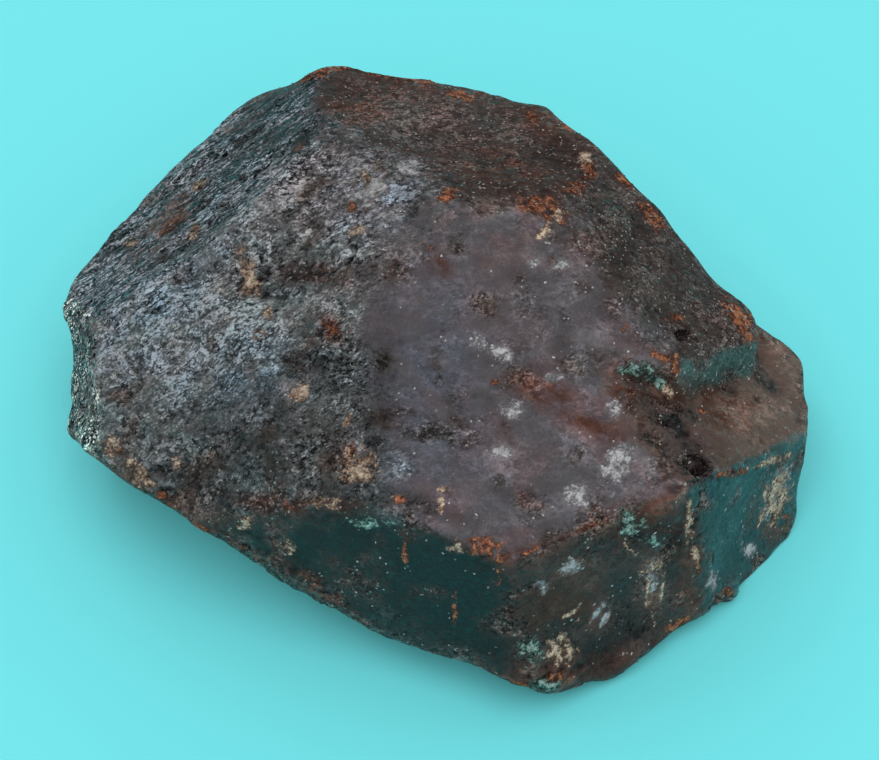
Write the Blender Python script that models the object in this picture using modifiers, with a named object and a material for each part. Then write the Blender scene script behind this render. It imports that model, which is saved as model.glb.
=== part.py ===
"""A weathered garnet crystal, one solid piece about 49 mm across.

A garnet grows as a ball of flat faces. This one is flattened, stepped on one corner and broken
flat underneath, so it rests on that break. Every flat face is given by the compass heading of
its outward normal (degrees, counter-clockwise from +X seen from above), by the lift of that
normal above the horizontal, and by its distance in millimetres from the middle of the crystal.
The finished piece stands with the middle of its footprint at the origin, +Z up.
"""

import math

import bmesh
import bpy
from mathutils import Matrix, Vector, noise

MM = 0.001

# The rough block that the faces are cut from, and the flat break that it rests on.
BLOCK_SIDE = 90.0
BREAK_DEPTH = 5.4

# The crystal's faces: (heading, lift, distance).
CROWN_FACES = {
    "front_top": (-62, 72.5, 12.0),
    "left_top": (-143.5, 63.5, 13.3),
    "left_brow": (-133, 50, 15.7),
    "left_back": (158, 55, 16.6),
    "small_top": (185, 78, 13.4),
    "back_top": (70, 72, 13.9),
}
SIDE_FACES = {
    "front_right_side": (-62.5, 15, 20.3),
    "front_left_side": (-109, 12, 18.3),
    "left_end": (-168, 20, 22.5),
    "back_left_side": (141, 4, 23.5),
    "back_left_rim": (119, 44, 21.6),
    "back_side": (78.5, 5, 19.2),
    "back_right_rim": (35.5, 24.6, 18.1),
    "right_end": (3, -10, 23.1),
}
UNDER_FACES = {
    "front_left_lip": (-117, -10, 18.3),
    "front_left_under": (-130, -35, 15.3),
    "front_under": (-105, -50, 14.3),
    "front_right_under": (-54, -42, 19.6),
    "left_under": (172, -25, 21.4),
    "back_left_under": (160, -40, 19.0),
    "back_under": (75, -38, 16.0),
    "back_corner_under": (115, -30, 19.5),
}
# The right corner grew in two steps: an upper terrace that ends in steep risers, and a lower
# terrace parallel to it that runs on to the steep side of the crystal.
CORNER_FACES = {
    "upper_terrace": (5, 58, 14.7),
    "corner_side": (-38, 15, 21.3),
}
LOWER_TERRACE = (5, 58, 12.85)
RISERS = {
    "upper_riser": (-38, 15, 17.0),
    "upper_riser_left": (-80, 20, 10.7),
    "upper_end": (2, 0, 20.5),
}

# Natural wear and growth marks, as (x, y, z) from the middle of the crystal, in millimetres.
# Smooth dents: (centre, how far they reach, depth). A negative depth is a swelling.
DENTS = (
    ((-8.2, 2.6, 12.0), 3.0, 0.75),
    ((-5.2, 4.8, 12.8), 1.6, -0.25),
    ((13.3, -10.9, 7.6), 1.9, 0.60),
    ((15.4, -10.6, 6.6), 1.5, 0.45),
    ((-12.2, 0.6, 10.1), 1.5, 0.35),
    ((-4.2, -9.0, 10.2), 2.4, 0.40),
    ((-17.5, -7.0, 5.5), 2.6, -0.40),
    ((2.0, -1.5, 12.2), 3.5, -0.35),
    ((-0.5, 12.0, 11.0), 3.0, 0.35),
    ((19.5, -12.5, -2.5), 2.0, 0.35),
)
PIT_CENTRE = (16.0, -11.7, 6.2)
PIT_RADIUS = 1.1
SMALL_PIT_CENTRE = (15.2, -2.9, 8.2)
SMALL_PIT_RADIUS = 0.6
SCAR_CENTRE = (-4.6, -14.6, 9.7)
SCAR_RADII = (1.1, 2.4, 0.9)
FOOT_NOTCH_CENTRE = (17.7, -15.2, -4.2)
FOOT_NOTCH_RADIUS = 0.8
END_NOTCH_CENTRE = (-24.6, 2.2, 2.4)
END_NOTCH_RADIUS = 0.9
LUMPS = (
    ((6.9, -19.1, -3.1), (2.5, 2.1, 2.3)),
    ((10.6, -17.4, -4.0), (2.7, 2.0, 1.6)),
    ((18.3, -13.2, -4.4), (1.2, 1.3, 1.4)),
)

# How rough each face is: height and spacing of its hummocks, then of its grain, in millimetres.
RELIEF = {
    "front_top": (0.28, 7.0, 0.07, 2.2),
    "left_top": (0.42, 5.0, 0.16, 2.1),
    "left_brow": (0.40, 5.0, 0.18, 2.1),
    "left_back": (0.22, 6.0, 0.10, 2.2),
    "small_top": (0.30, 4.0, 0.14, 2.0),
    "back_top": (0.26, 6.0, 0.12, 2.0),
    "upper_terrace": (0.18, 5.0, 0.10, 2.0),
    "lower_terrace": (0.15, 6.0, 0.05, 2.4),
    "front_left_side": (0.16, 8.0, 0.04, 2.4),
    "front_right_side": (0.20, 6.0, 0.08, 2.2),
    "front_left_lip": (0.25, 3.5, 0.18, 1.9),
    "corner_side": (0.20, 6.0, 0.07, 2.2),
    "upper_riser": (0.06, 4.0, 0.04, 2.2),
    "upper_riser_left": (0.10, 3.0, 0.06, 1.8),
    "left_end": (0.25, 4.0, 0.16, 2.0),
}
PLAIN_RELIEF = (0.25, 5.0, 0.12, 2.1)
RIDGE_HEIGHT = 0.17
RIDGE_SPACING = 2.6
WORN_EDGE_ANGLE = math.radians(9)
FLAT_ANGLE = math.radians(1)
WORN_WIDTH = 0.5
WEAR_DEPTH = 0.10
TRIANGLE_SIDE = 1.65


def clear_scene():
    for old in list(bpy.data.objects):
        bpy.data.objects.remove(old, do_unlink=True)


def new_collection(name):
    made = bpy.data.collections.new(name)
    bpy.context.scene.collection.children.link(made)
    return made


def normal_of(heading, lift):
    turn, rise = math.radians(heading), math.radians(lift)
    level = math.cos(rise)
    return Vector((math.cos(turn) * level, math.sin(turn) * level, math.sin(rise)))


def object_from(name, bm, collection):
    bmesh.ops.recalc_face_normals(bm, faces=bm.faces)
    mesh = bpy.data.meshes.new(name)
    bm.to_mesh(mesh)
    bm.free()
    made = bpy.data.objects.new(name, mesh)
    collection.objects.link(made)
    return made


def slice_off(bm, point, normal):
    """Takes off everything on the far side of one plane, and closes the cut with a flat face."""
    parts = bm.verts[:] + bm.edges[:] + bm.faces[:]
    cut = bmesh.ops.bisect_plane(bm, geom=parts, plane_co=point, plane_no=normal, clear_outer=True)
    rim = [item for item in cut["geom_cut"] if isinstance(item, bmesh.types.BMEdge)]
    if rim:
        bmesh.ops.contextual_create(bm, geom=rim)


def crystal_block(name, faces, collection):
    """A block cut to the given faces, as a lapidary grinds one: plane after plane."""
    bm = bmesh.new()
    bmesh.ops.create_cube(bm, size=BLOCK_SIDE)
    for heading, lift, distance in faces.values():
        normal = normal_of(heading, lift)
        slice_off(bm, normal * distance, normal)
    bmesh.ops.dissolve_degenerate(bm, dist=0.01, edges=bm.edges)
    return object_from(name, bm, collection)


def other_side(face):
    """The same plane, keeping the other half of the block."""
    heading, lift, distance = face
    return (heading + 180, -lift, -distance)


def step_tool(collection):
    """What is missing above the lower terrace, around the foot of the risers."""
    above = {"above": other_side(LOWER_TERRACE)}
    tool = make_tool(crystal_block("step_cutter", above, collection))
    kept = make_tool(crystal_block("riser_block", RISERS, collection))
    combine(tool, kept, "DIFFERENCE")
    return tool


def make_tool(made):
    made.hide_render = True
    made.display_type = "WIRE"
    return made


def pebble(name, centre, radii, collection, turn=0.0, seed=0.0):
    """A small uneven ball, for a pit, a dished scar or a lump."""
    bm = bmesh.new()
    bmesh.ops.create_icosphere(bm, subdivisions=2, radius=1.0)
    for vert in bm.verts:
        uneven = noise.noise(vert.co * 1.3 + Vector((seed, 2.0, 7.0)))
        vert.co *= 1.0 + 0.22 * uneven
    size = Matrix.Diagonal((*radii, 1.0))
    spin = Matrix.Rotation(math.radians(turn), 4, "Z")
    bmesh.ops.transform(bm, matrix=Matrix.Translation(centre) @ spin @ size, verts=bm.verts)
    return make_tool(object_from(name, bm, collection))


def combine(body, tool, operation):
    """Adds or cuts one shape with an exact Boolean, and keeps the result as the body's mesh."""
    step = body.modifiers.new(tool.name, "BOOLEAN")
    step.operation = operation
    step.solver = "EXACT"
    step.object = tool
    bpy.context.view_layer.update()
    graph = bpy.context.evaluated_depsgraph_get()
    result = bpy.data.meshes.new_from_object(body.evaluated_get(graph))
    body.modifiers.clear()
    body.data = result


def wear_ridges(body):
    """Takes the sharpness off every ridge between two faces."""
    worn = body.modifiers.new("worn_ridges", "BEVEL")
    worn.width = WORN_WIDTH
    worn.segments = 1
    worn.limit_method = "ANGLE"
    worn.angle_limit = WORN_EDGE_ANGLE
    bpy.context.view_layer.update()
    graph = bpy.context.evaluated_depsgraph_get()
    result = bpy.data.meshes.new_from_object(body.evaluated_get(graph))
    body.modifiers.clear()
    body.data = result


def split_evenly(bm, side):
    """Splits long edges until the triangles are even, leaving the flat break in large pieces."""
    bmesh.ops.triangulate(bm, faces=bm.faces)
    for length in (side * 6, side * 3, side * 1.7, side, side):
        for edge in bm.edges:
            edge.tag = edge.calc_length() > length and not lies_on_break(edge)
        long_edges = [edge for edge in bm.edges if edge.tag]
        bmesh.ops.subdivide_edges(bm, edges=long_edges, cuts=1, use_grid_fill=False)
        bmesh.ops.triangulate(bm, faces=[face for face in bm.faces if len(face.verts) > 3])
        tidy_triangles(bm)
    for _ in range(3):
        even_out(bm)
        tidy_triangles(bm)


def tidy_triangles(bm):
    bm.normal_update()
    inner = [edge for edge in bm.edges if edge.calc_face_angle(0.0) < FLAT_ANGLE]
    bmesh.ops.beautify_fill(bm, faces=bm.faces, edges=inner)


def even_out(bm):
    """Spreads the points of each flat face evenly, without moving its outline."""
    bm.normal_update()
    places = {}
    for vert in bm.verts:
        if max(edge.calc_face_angle(0.0) for edge in vert.link_edges) > FLAT_ANGLE:
            continue
        if on_break(vert):
            continue
        mean = sum((edge.other_vert(vert).co for edge in vert.link_edges), Vector())
        places[vert] = vert.co.lerp(mean / len(vert.link_edges), 0.6)
    for vert, place in places.items():
        vert.co = place


def lies_on_break(edge):
    return all(face.normal.z < -0.999 for face in edge.link_faces)


def on_break(vert):
    return any(face.normal.z < -0.999 for face in vert.link_faces)


def face_name(face, planes):
    """The crystal face that a triangle belongs to, or an empty name for a chip or a pit."""
    middle = face.calc_center_median()
    for name, (normal, distance) in planes.items():
        if face.normal.dot(normal) > 0.999 and abs(middle.dot(normal) - distance) < 0.05:
            return name
    return ""


def wave(point, spacing, seed):
    """Smooth unevenness between about -1 and 1, with the given distance from bump to bump."""
    return noise.noise(point / spacing + Vector((seed, seed * 0.7, -seed))) * 1.6


def growth_ridges(point, across):
    """Low parallel ridges, as left where a face grew in thin layers."""
    bend = wave(point, 9.0, 5.0) * 0.9
    phase = (point.dot(across) + bend) / RIDGE_SPACING
    strength = 0.6 + 0.4 * wave(point, 6.0, 8.0)
    return math.sin(phase * 2 * math.pi) * RIDGE_HEIGHT * strength


def relief_at(point, name, across):
    hummock, hummock_spacing, grain, grain_spacing = RELIEF.get(name, PLAIN_RELIEF)
    height = hummock * wave(point, hummock_spacing, 1.0) + grain * wave(point, grain_spacing, 3.0)
    if name == "left_back":
        height += growth_ridges(point, across)
    for centre, reach, depth in DENTS:
        away = (point - Vector(centre)).length / reach
        height -= depth * math.exp(-away * away)
    return height


def wear_at(vert):
    """How far a point on a ridge is worn down: more on a sharp ridge, and not evenly along it."""
    bends = [edge.calc_face_angle_signed(0.0) for edge in vert.link_edges]
    sharpest = max(bends)
    if sharpest < WORN_EDGE_ANGLE or min(bends) < -WORN_EDGE_ANGLE:
        return 0.0
    share = min(sharpest / math.radians(50), 1.0)
    return WEAR_DEPTH * share * max(0.3, 1.0 + 0.8 * wave(vert.co, 5.0, 11.0))


def roughen(bm, planes):
    """Wears the ridges and raises each face's own relief, leaving the flat break as it is."""
    left, back = planes["left_top"][0], planes["left_back"][0]
    across = left.cross(back).normalized().cross(back).normalized()
    names = {face: face_name(face, planes) for face in bm.faces}
    bm.normal_update()
    places = {}
    for vert in bm.verts:
        if on_break(vert):
            continue
        heights = [relief_at(vert.co, names[face], across) for face in vert.link_faces]
        height = sum(heights) / len(heights) - wear_at(vert)
        places[vert] = vert.co + vert.normal * height
    for vert, place in places.items():
        vert.co = place
        vert.co.z = max(vert.co.z, 0.12 - BREAK_DEPTH)


def stand_on_origin(bm):
    """Puts the middle of the footprint at the origin and the break on the ground."""
    low = Vector([min(vert.co[axis] for vert in bm.verts) for axis in range(3)])
    high = Vector([max(vert.co[axis] for vert in bm.verts) for axis in range(3)])
    shift = Vector((-(low.x + high.x) / 2, -(low.y + high.y) / 2, -low.z))
    bmesh.ops.translate(bm, verts=bm.verts, vec=shift)
    bmesh.ops.scale(bm, verts=bm.verts, vec=(MM, MM, MM))
    print("middle of the crystal stands at", tuple(round(value, 3) for value in shift), "mm")


def garnet_material():
    made = bpy.data.materials.new("garnet")
    made.use_nodes = True
    shader = made.node_tree.nodes["Principled BSDF"]
    shader.inputs["Base Color"].default_value = (0.035, 0.022, 0.028, 1.0)
    shader.inputs["Roughness"].default_value = 0.38
    return made


clear_scene()
crystal = new_collection("garnet_crystal")
tools = new_collection("cutters")
outer = {**CROWN_FACES, **SIDE_FACES, **UNDER_FACES, **CORNER_FACES}
body = crystal_block("garnet_crystal", outer, crystal)
combine(body, step_tool(tools), "DIFFERENCE")
wear_ridges(body)
for number, (centre, radii) in enumerate(LUMPS):
    lump = pebble(f"lump_{number}", centre, radii, tools, seed=number * 3.7)
    combine(body, lump, "UNION")

CUTS = (
    ("pit", PIT_CENTRE, (PIT_RADIUS, PIT_RADIUS * 0.8, PIT_RADIUS), 20, 2.0),
    ("small_pit", SMALL_PIT_CENTRE, (SMALL_PIT_RADIUS,) * 3, 0, 3.0),
    ("scar", SCAR_CENTRE, SCAR_RADII, 0, 5.0),
    ("foot_notch", FOOT_NOTCH_CENTRE, (FOOT_NOTCH_RADIUS,) * 3, 0, 6.0),
    ("end_notch", END_NOTCH_CENTRE, (END_NOTCH_RADIUS,) * 3, 0, 7.0),
)
for name, centre, radii, turn, seed in CUTS:
    combine(body, pebble(name + "_cutter", centre, radii, tools, turn, seed), "DIFFERENCE")

every_face = {**outer, **RISERS, "lower_terrace": LOWER_TERRACE}
planes = {
    name: (normal_of(heading, lift), distance)
    for name, (heading, lift, distance) in every_face.items()
}
bm = bmesh.new()
bm.from_mesh(body.data)
slice_off(bm, Vector((0, 0, -BREAK_DEPTH)), Vector((0, 0, -1)))
bmesh.ops.dissolve_limit(bm, angle_limit=FLAT_ANGLE / 2, verts=bm.verts, edges=bm.edges)
bmesh.ops.remove_doubles(bm, verts=bm.verts, dist=0.05)
split_evenly(bm, TRIANGLE_SIDE)
roughen(bm, planes)
stand_on_origin(bm)
bmesh.ops.recalc_face_normals(bm, faces=bm.faces)
bm.to_mesh(body.data)
bm.free()
body.data.materials.clear()
body.data.materials.append(garnet_material())
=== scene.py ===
# %% [markdown]
# # A weathered garnet crystal
# One loose crystal, about 48 mm across, lying on the flat break it came away from the rock with.
# The solid underneath has the crystal's flat faces, its stepped corner and its larger pits. This
# script grows a finer skin on that solid and gives it the film, rust and clay of a field find.

# %% Load the frame
import math

import bmesh
import bpy
import numpy as np
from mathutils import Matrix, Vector, noise


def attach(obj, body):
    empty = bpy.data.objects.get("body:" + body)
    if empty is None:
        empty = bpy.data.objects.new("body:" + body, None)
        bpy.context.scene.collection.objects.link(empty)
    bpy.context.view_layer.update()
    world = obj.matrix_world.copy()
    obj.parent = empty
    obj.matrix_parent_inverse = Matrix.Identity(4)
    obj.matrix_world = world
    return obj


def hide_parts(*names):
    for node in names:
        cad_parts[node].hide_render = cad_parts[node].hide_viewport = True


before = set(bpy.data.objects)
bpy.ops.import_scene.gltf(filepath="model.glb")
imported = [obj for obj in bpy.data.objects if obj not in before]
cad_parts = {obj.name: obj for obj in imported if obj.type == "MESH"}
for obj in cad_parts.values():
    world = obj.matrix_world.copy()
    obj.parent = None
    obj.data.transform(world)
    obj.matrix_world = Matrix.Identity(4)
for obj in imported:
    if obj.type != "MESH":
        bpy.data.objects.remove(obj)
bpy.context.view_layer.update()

MM = 0.001
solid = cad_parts["garnet_crystal"]

# %% [markdown]
# ## Two small helpers
# Colours are written as the hex values that a paint program shows. Blender's shaders work in
# linear light, so one function turns hex into linear. Every node in this file, in a shader or in
# a Geometry Nodes tree, is added by the second function, which sets its options and fills each
# input with either a plain value or a link.


# %% Colour and node helpers
def linear(hex_colour):
    """An sRGB hex colour as linear red, green, blue and alpha."""
    parts = [int(hex_colour[i:i + 2], 16) / 255 for i in (1, 3, 5)]
    bent = [c / 12.92 if c <= 0.04045 else ((c + 0.055) / 1.055) ** 2.4 for c in parts]
    return (*bent, 1.0)


def add(tree, kind, inputs=None, **settings):
    """Adds a node, sets its options, and fills its inputs with values or links."""
    made = tree.nodes.new(kind)
    for name, value in settings.items():
        setattr(made, name, value)
    for socket, value in (inputs or {}).items():
        if isinstance(value, bpy.types.Node):
            value = value.outputs[0]
        if isinstance(value, bpy.types.NodeSocket):
            tree.links.new(value, made.inputs[socket])
        else:
            made.inputs[socket].default_value = value
    return made


print("a mid grey of #808080 is", round(linear("#808080")[0], 3), "in linear light")

# %% [markdown]
# ## The camera
# A 100 mm lens flattens the crystal the way a close product shot does. The camera looks down at
# 50 degrees at the crystal's middle, which stands 5.4 mm above the ground. It is made first
# because the stains are placed by where this camera sees them.

# %% Camera
PICTURE_WIDTH, PICTURE_HEIGHT = 879, 760
SENSOR_WIDTH = 36.0
LENS = 100.0
CRYSTAL_MIDDLE = Vector((0.278, -0.143, 5.4)) * MM
CAMERA_AWAY = 161.15 * MM
CAMERA_LIFT = math.radians(50)
CAMERA_SEES_FROM = 0.01

TO_CAMERA = Vector((0, -math.cos(CAMERA_LIFT), math.sin(CAMERA_LIFT)))
PICTURE_UP = Vector((0, math.sin(CAMERA_LIFT), math.cos(CAMERA_LIFT)))
PICTURE_RIGHT = Vector((1, 0, 0))

lens = bpy.data.cameras.new("camera")
lens.lens = LENS
lens.sensor_width = SENSOR_WIDTH
lens.clip_start = CAMERA_SEES_FROM
camera = bpy.data.objects.new("camera", lens)
camera.location = CRYSTAL_MIDDLE + TO_CAMERA * CAMERA_AWAY
camera.rotation_euler = (math.pi / 2 - CAMERA_LIFT, 0, 0)
bpy.context.scene.collection.objects.link(camera)
bpy.context.scene.camera = camera


def picture_points(places):
    """Where the camera sees each point: picture x and y, from the top left corner."""
    focal = LENS / SENSOR_WIDTH * PICTURE_WIDTH
    away = places - np.array(camera.location)
    depth = -away @ np.array(TO_CAMERA)
    across = away @ np.array(PICTURE_RIGHT) / depth
    rise = away @ np.array(PICTURE_UP) / depth
    return PICTURE_WIDTH / 2 + focal * across, PICTURE_HEIGHT / 2 - focal * rise


print("one picture point is", round(CAMERA_AWAY / MM / (LENS / SENSOR_WIDTH * PICTURE_WIDTH), 4), "mm")

# %% [markdown]
# ## Floor and light
# A plain pale blue-green table gives the steep dark faces something to mirror: a dark, glossy
# stone shows its surroundings more than its own colour. One large soft lamp hangs above, on the
# camera's side, and a smaller and weaker one at the back left lifts the far rims. The world adds
# the even fill of a light tent. Four lamps the size of a coin add almost no light, but each tiny
# crystal plane that happens to mirror one of them shows as a glint.

# %% Floor, lamps and world
FLOOR_RADIUS = 1.5
TABLE_COLOUR = "#72e9f1"
TABLE_ROUGHNESS = 0.9
# name: (place in metres, side in metres, watts)
LAMPS = {
    "softbox_above": ((0.0, -0.24, 0.56), 0.60, 1.15),
    "softbox_behind": ((-0.30, 0.26, 0.44), 0.30, 0.20),
    "spark_back": ((-0.20, 0.42, 0.42), 0.025, 0.05),
    "spark_right": ((0.30, 0.36, 0.40), 0.025, 0.05),
    "spark_above": ((0.05, 0.06, 0.60), 0.025, 0.05),
    "spark_left": ((-0.42, 0.06, 0.42), 0.025, 0.05),
}
TENT_COLOUR = "#f4f3f0"
TENT_GLOW = 0.80
FLOOR_BELOW = 0.02 * MM

bm = bmesh.new()
bmesh.ops.create_circle(bm, cap_ends=True, segments=96, radius=FLOOR_RADIUS)
bmesh.ops.translate(bm, verts=bm.verts, vec=(0, 0, -FLOOR_BELOW))
floor_mesh = bpy.data.meshes.new("table_top")
bm.to_mesh(floor_mesh)
bm.free()
floor = bpy.data.objects.new("table_top", floor_mesh)
bpy.context.scene.collection.objects.link(floor)

# Painted card: one flat pale colour with no gloss, so that nothing competes with the stone.
card = bpy.data.materials.new("painted_card")
card.use_nodes = True
card_shader = card.node_tree.nodes["Principled BSDF"]
card_shader.inputs["Base Color"].default_value = linear(TABLE_COLOUR)
card_shader.inputs["Roughness"].default_value = TABLE_ROUGHNESS
floor_mesh.materials.append(card)

for name, (place, side, watts) in LAMPS.items():
    light = bpy.data.lights.new(name, "AREA")
    light.size = side
    light.energy = watts
    lamp = bpy.data.objects.new(name, light)
    lamp.location = place
    lamp.rotation_euler = (CRYSTAL_MIDDLE - Vector(place)).to_track_quat("-Z", "Y").to_euler()
    bpy.context.scene.collection.objects.link(lamp)

world = bpy.data.worlds.new("light_tent")
world.use_nodes = True
tent = world.node_tree.nodes["Background"]
tent.inputs["Color"].default_value = linear(TENT_COLOUR)
tent.inputs["Strength"].default_value = TENT_GLOW
bpy.context.scene.world = world
bpy.context.scene.view_settings.view_transform = "Standard"
print(len(LAMPS), "lamps over a table", FLOOR_RADIUS * 2, "m across")

# %% [markdown]
# ## The crystal's faces
# A garnet is a ball of flat faces. Each one is named here with the heading and lift of its
# outward direction and its distance from the crystal's middle, as a crystal atlas lists them.
# Each also has a finish, because weathering bites differently into every face: one is smooth and
# violet-grey, and its neighbour is scaly and blue-grey. A face with no finish of its own, and the
# broken base, get the last one.

# %% Faces and their finishes
# heading, lift (degrees), distance (mm)
FACES = {
    "front_top": (-62, 72.5, 12.0),
    "left_top": (-143.5, 63.5, 13.3),
    "left_brow": (-133, 50, 15.7),
    "left_back": (158, 55, 16.6),
    "small_top": (185, 78, 13.4),
    "back_top": (70, 72, 13.9),
    "front_right_side": (-62.5, 15, 20.3),
    "front_left_side": (-109, 12, 18.3),
    "left_end": (-168, 20, 22.5),
    "back_left_side": (141, 4, 23.5),
    "back_left_rim": (119, 44, 21.6),
    "back_side": (78.5, 5, 19.2),
    "back_right_rim": (35.5, 24.6, 18.1),
    "right_end": (3, -10, 23.1),
    "front_left_lip": (-117, -10, 18.3),
    "upper_terrace": (5, 58, 14.7),
    "lower_terrace": (5, 58, 12.85),
    "corner_side": (-38, 15, 21.3),
    "upper_riser": (-38, 15, 17.0),
    "upper_riser_left": (-80, 20, 10.7),
    "upper_end": (2, 0, 20.5),
}
# film colour, share of the garnet it hides, coarseness of the grain, how far the grain runs in
# lines, bright flecks of mica that also paint glints, stray rust and clay, roughness to light, and
# how blotchy it is
FINISH = {
    "front_top": ("#4a484d", 0.90, 0.30, 0.0, 0.06, 0.16, 0.58, 0.92),
    "left_top": ("#60686a", 0.60, 2.60, 0.45, 1.20, 0.30, 0.52, 2.30),
    "left_brow": ("#45494b", 0.60, 2.00, 0.30, 0.90, 0.35, 0.52, 1.70),
    "left_back": ("#68747c", 0.60, 5.50, 0.90, 0.80, 0.20, 0.70, 2.00),
    "small_top": ("#6a6c6f", 0.58, 2.90, 0.25, 1.60, 0.30, 0.50, 1.60),
    "back_top": ("#3f3c3a", 0.70, 1.60, 0.15, 1.30, 0.25, 0.85, 1.20),
    "front_right_side": ("#3e2a23", 0.55, 0.40, 0.1, 0.15, 0.20, 0.45, 2.00),
    "front_left_side": ("#080808", 0.60, 0.16, 0.1, 0.05, 0.05, 0.42, 0.80),
    "left_end": ("#b6c8c2", 0.56, 9.00, 0.60, 0.90, 0.25, 0.60, 1.90),
    "front_left_lip": ("#3a4341", 0.55, 2.80, 0.20, 0.90, 0.55, 0.50, 1.40),
    "upper_terrace": ("#3d3937", 0.66, 1.40, 0.10, 1.20, 0.25, 0.85, 1.30),
    "lower_terrace": ("#5c4e46", 0.90, 0.40, 0.0, 0.20, 0.20, 0.72, 0.90),
    # The teal in these two film colours is partly painted reflection of the blue-green table.
    "corner_side": ("#1e4143", 0.60, 0.45, 0.5, 0.15, 0.10, 0.40, 1.00),
    "upper_riser": ("#2f4542", 0.60, 0.60, 0.0, 1.00, 0.10, 0.45, 0.90),
    "upper_riser_left": ("#535446", 0.60, 0.90, 0.1, 0.90, 0.35, 0.60, 0.80),
}
UNSEEN_FINISH = ("#46403c", 0.60, 2.20, 0.35, 0.70, 0.35, 0.70, 1.30)


def direction(heading, lift):
    """The outward direction with this heading and lift, both in degrees."""
    turn, rise = math.radians(heading), math.radians(lift)
    return Vector((math.cos(turn) * math.cos(rise), math.sin(turn) * math.cos(rise), math.sin(rise)))


def shared_ridge(first, second):
    """The direction of the ridge that two faces share."""
    return direction(*FACES[first][:2]).cross(direction(*FACES[second][:2])).normalized()


GROWTH_LINE = shared_ridge("left_top", "left_back")
BACK_LINE = shared_ridge("front_top", "back_top")
print(len(FACES), "named faces; growth lines run along", [round(part, 2) for part in GROWTH_LINE])

# %% [markdown]
# ## A finer skin
# The solid has about ten thousand triangles, some 0.9 mm across. A copy of it is merged and every
# edge is cut in four, which gives points 0.23 mm apart: fine enough for scales and pits to be
# real shape. Ridges are remembered as an attribute before the cut, so that the smoothing that
# follows rounds the flat little triangles and leaves the ridges where they are.

# %% Copy, merge and cut the solid
MERGE = 0.002 * MM
CUTS_PER_EDGE = 3
RIDGE_ANGLE = math.radians(14)

bm = bmesh.new()
bm.from_mesh(solid.data)
bmesh.ops.remove_doubles(bm, verts=bm.verts, dist=MERGE)
bm.normal_update()
ridge_layer = bm.verts.layers.float.new("ridge")
for edge in bm.edges:
    if edge.calc_face_angle(0.0) > RIDGE_ANGLE:
        for vert in edge.verts:
            vert[ridge_layer] = 1.0
bmesh.ops.subdivide_edges(bm, edges=bm.edges[:], cuts=CUTS_PER_EDGE, use_grid_fill=True)
bmesh.ops.triangulate(bm, faces=[face for face in bm.faces if len(face.verts) > 3])
skin_mesh = bpy.data.meshes.new("garnet_skin")
bm.to_mesh(skin_mesh)
bm.free()
skin = bpy.data.objects.new("garnet_skin", skin_mesh)
bpy.context.scene.collection.objects.link(skin)
print("skin:", len(skin_mesh.vertices), "points,", len(skin_mesh.polygons), "triangles")

# %% [markdown]
# ## Which face is a point on?
# A point belongs to a face when it lies close to that face's plane and looks the same way. Both
# tests are soft. The way a point looks is first averaged over its neighbours, but not across a
# steep ridge, and a little noise is added to it. So a finish stops crisply at a steep ridge and
# fades raggedly over a millimetre or two at a shallow one, as a natural film does.

# %% Face shares and finish attributes
PLANE_REACH = 0.55
FACING_POWER = 36
BLEND_WANDER = 0.5
LEAN_WANDER = 0.21
WANDER_SIZE = 2.4
WANDER_SEED = 4
WANDER_DETAIL = 4
SOFT_ROUNDS = 64
STEEP_RIDGE = 0.90
STEEP_SHARPNESS = 20
NO_FACE = 0.02


def read(source, name, width, kind=np.float32):
    """A property of every point or edge, as rows of so many numbers."""
    values = np.empty(len(source) * width, kind)
    source.foreach_get(name, values)
    return values.reshape(-1, width).astype(np.float64 if kind is np.float32 else kind)


def store(mesh, name, values):
    """Keeps one number for each point of the mesh, for shaders and node trees to read."""
    made = mesh.attributes.get(name) or mesh.attributes.new(name, "FLOAT", "POINT")
    made.data.foreach_set("value", np.asarray(values, np.float32))


def softened(directions, ends, rounds):
    """Averages each point's direction with its neighbours', leaving out those past a steep ridge."""
    one, two = ends.T
    count = len(directions)
    for _ in range(rounds):
        agreement = (directions[one] * directions[two]).sum(axis=1)
        alike = np.clip((agreement - STEEP_RIDGE) * STEEP_SHARPNESS, 0, 1)
        weight = np.bincount(one, alike, count) + np.bincount(two, alike, count) + 1.0
        total = np.stack([np.bincount(one, alike * directions[two, axis], count)
                          + np.bincount(two, alike * directions[one, axis], count)
                          for axis in range(3)], axis=1)
        directions = (directions + total) / weight[:, None]
        directions /= np.linalg.norm(directions, axis=1)[:, None]
    return directions


places = read(skin_mesh.vertices, "co", 3)
normals = read(skin_mesh.vertex_normals, "vector", 3)
edge_ends = read(skin_mesh.edges, "vertices", 2, np.int32)
# Without a seed this noise starts from the clock, and every run would give another skin.
noise.seed_set(WANDER_SEED)
wander = np.array([noise.turbulence_vector(Vector(place) / (WANDER_SIZE * MM), WANDER_DETAIL, False)
                   for place in places])
from_middle = (places - np.array(CRYSTAL_MIDDLE)) / MM + wander * BLEND_WANDER
looking = softened(normals, edge_ends, SOFT_ROUNDS) + wander * LEAN_WANDER

shares = {}
for name, (heading, lift, distance) in FACES.items():
    outward = np.array(direction(heading, lift))
    off_plane = (from_middle @ outward - distance) / PLANE_REACH
    facing = np.clip(looking @ outward, 0, 1) ** FACING_POWER
    shares[name] = np.exp(-off_plane ** 2) * facing
total = sum(shares.values()) + NO_FACE
shares = {name: share / total for name, share in shares.items()}
unseen = NO_FACE / total

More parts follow.
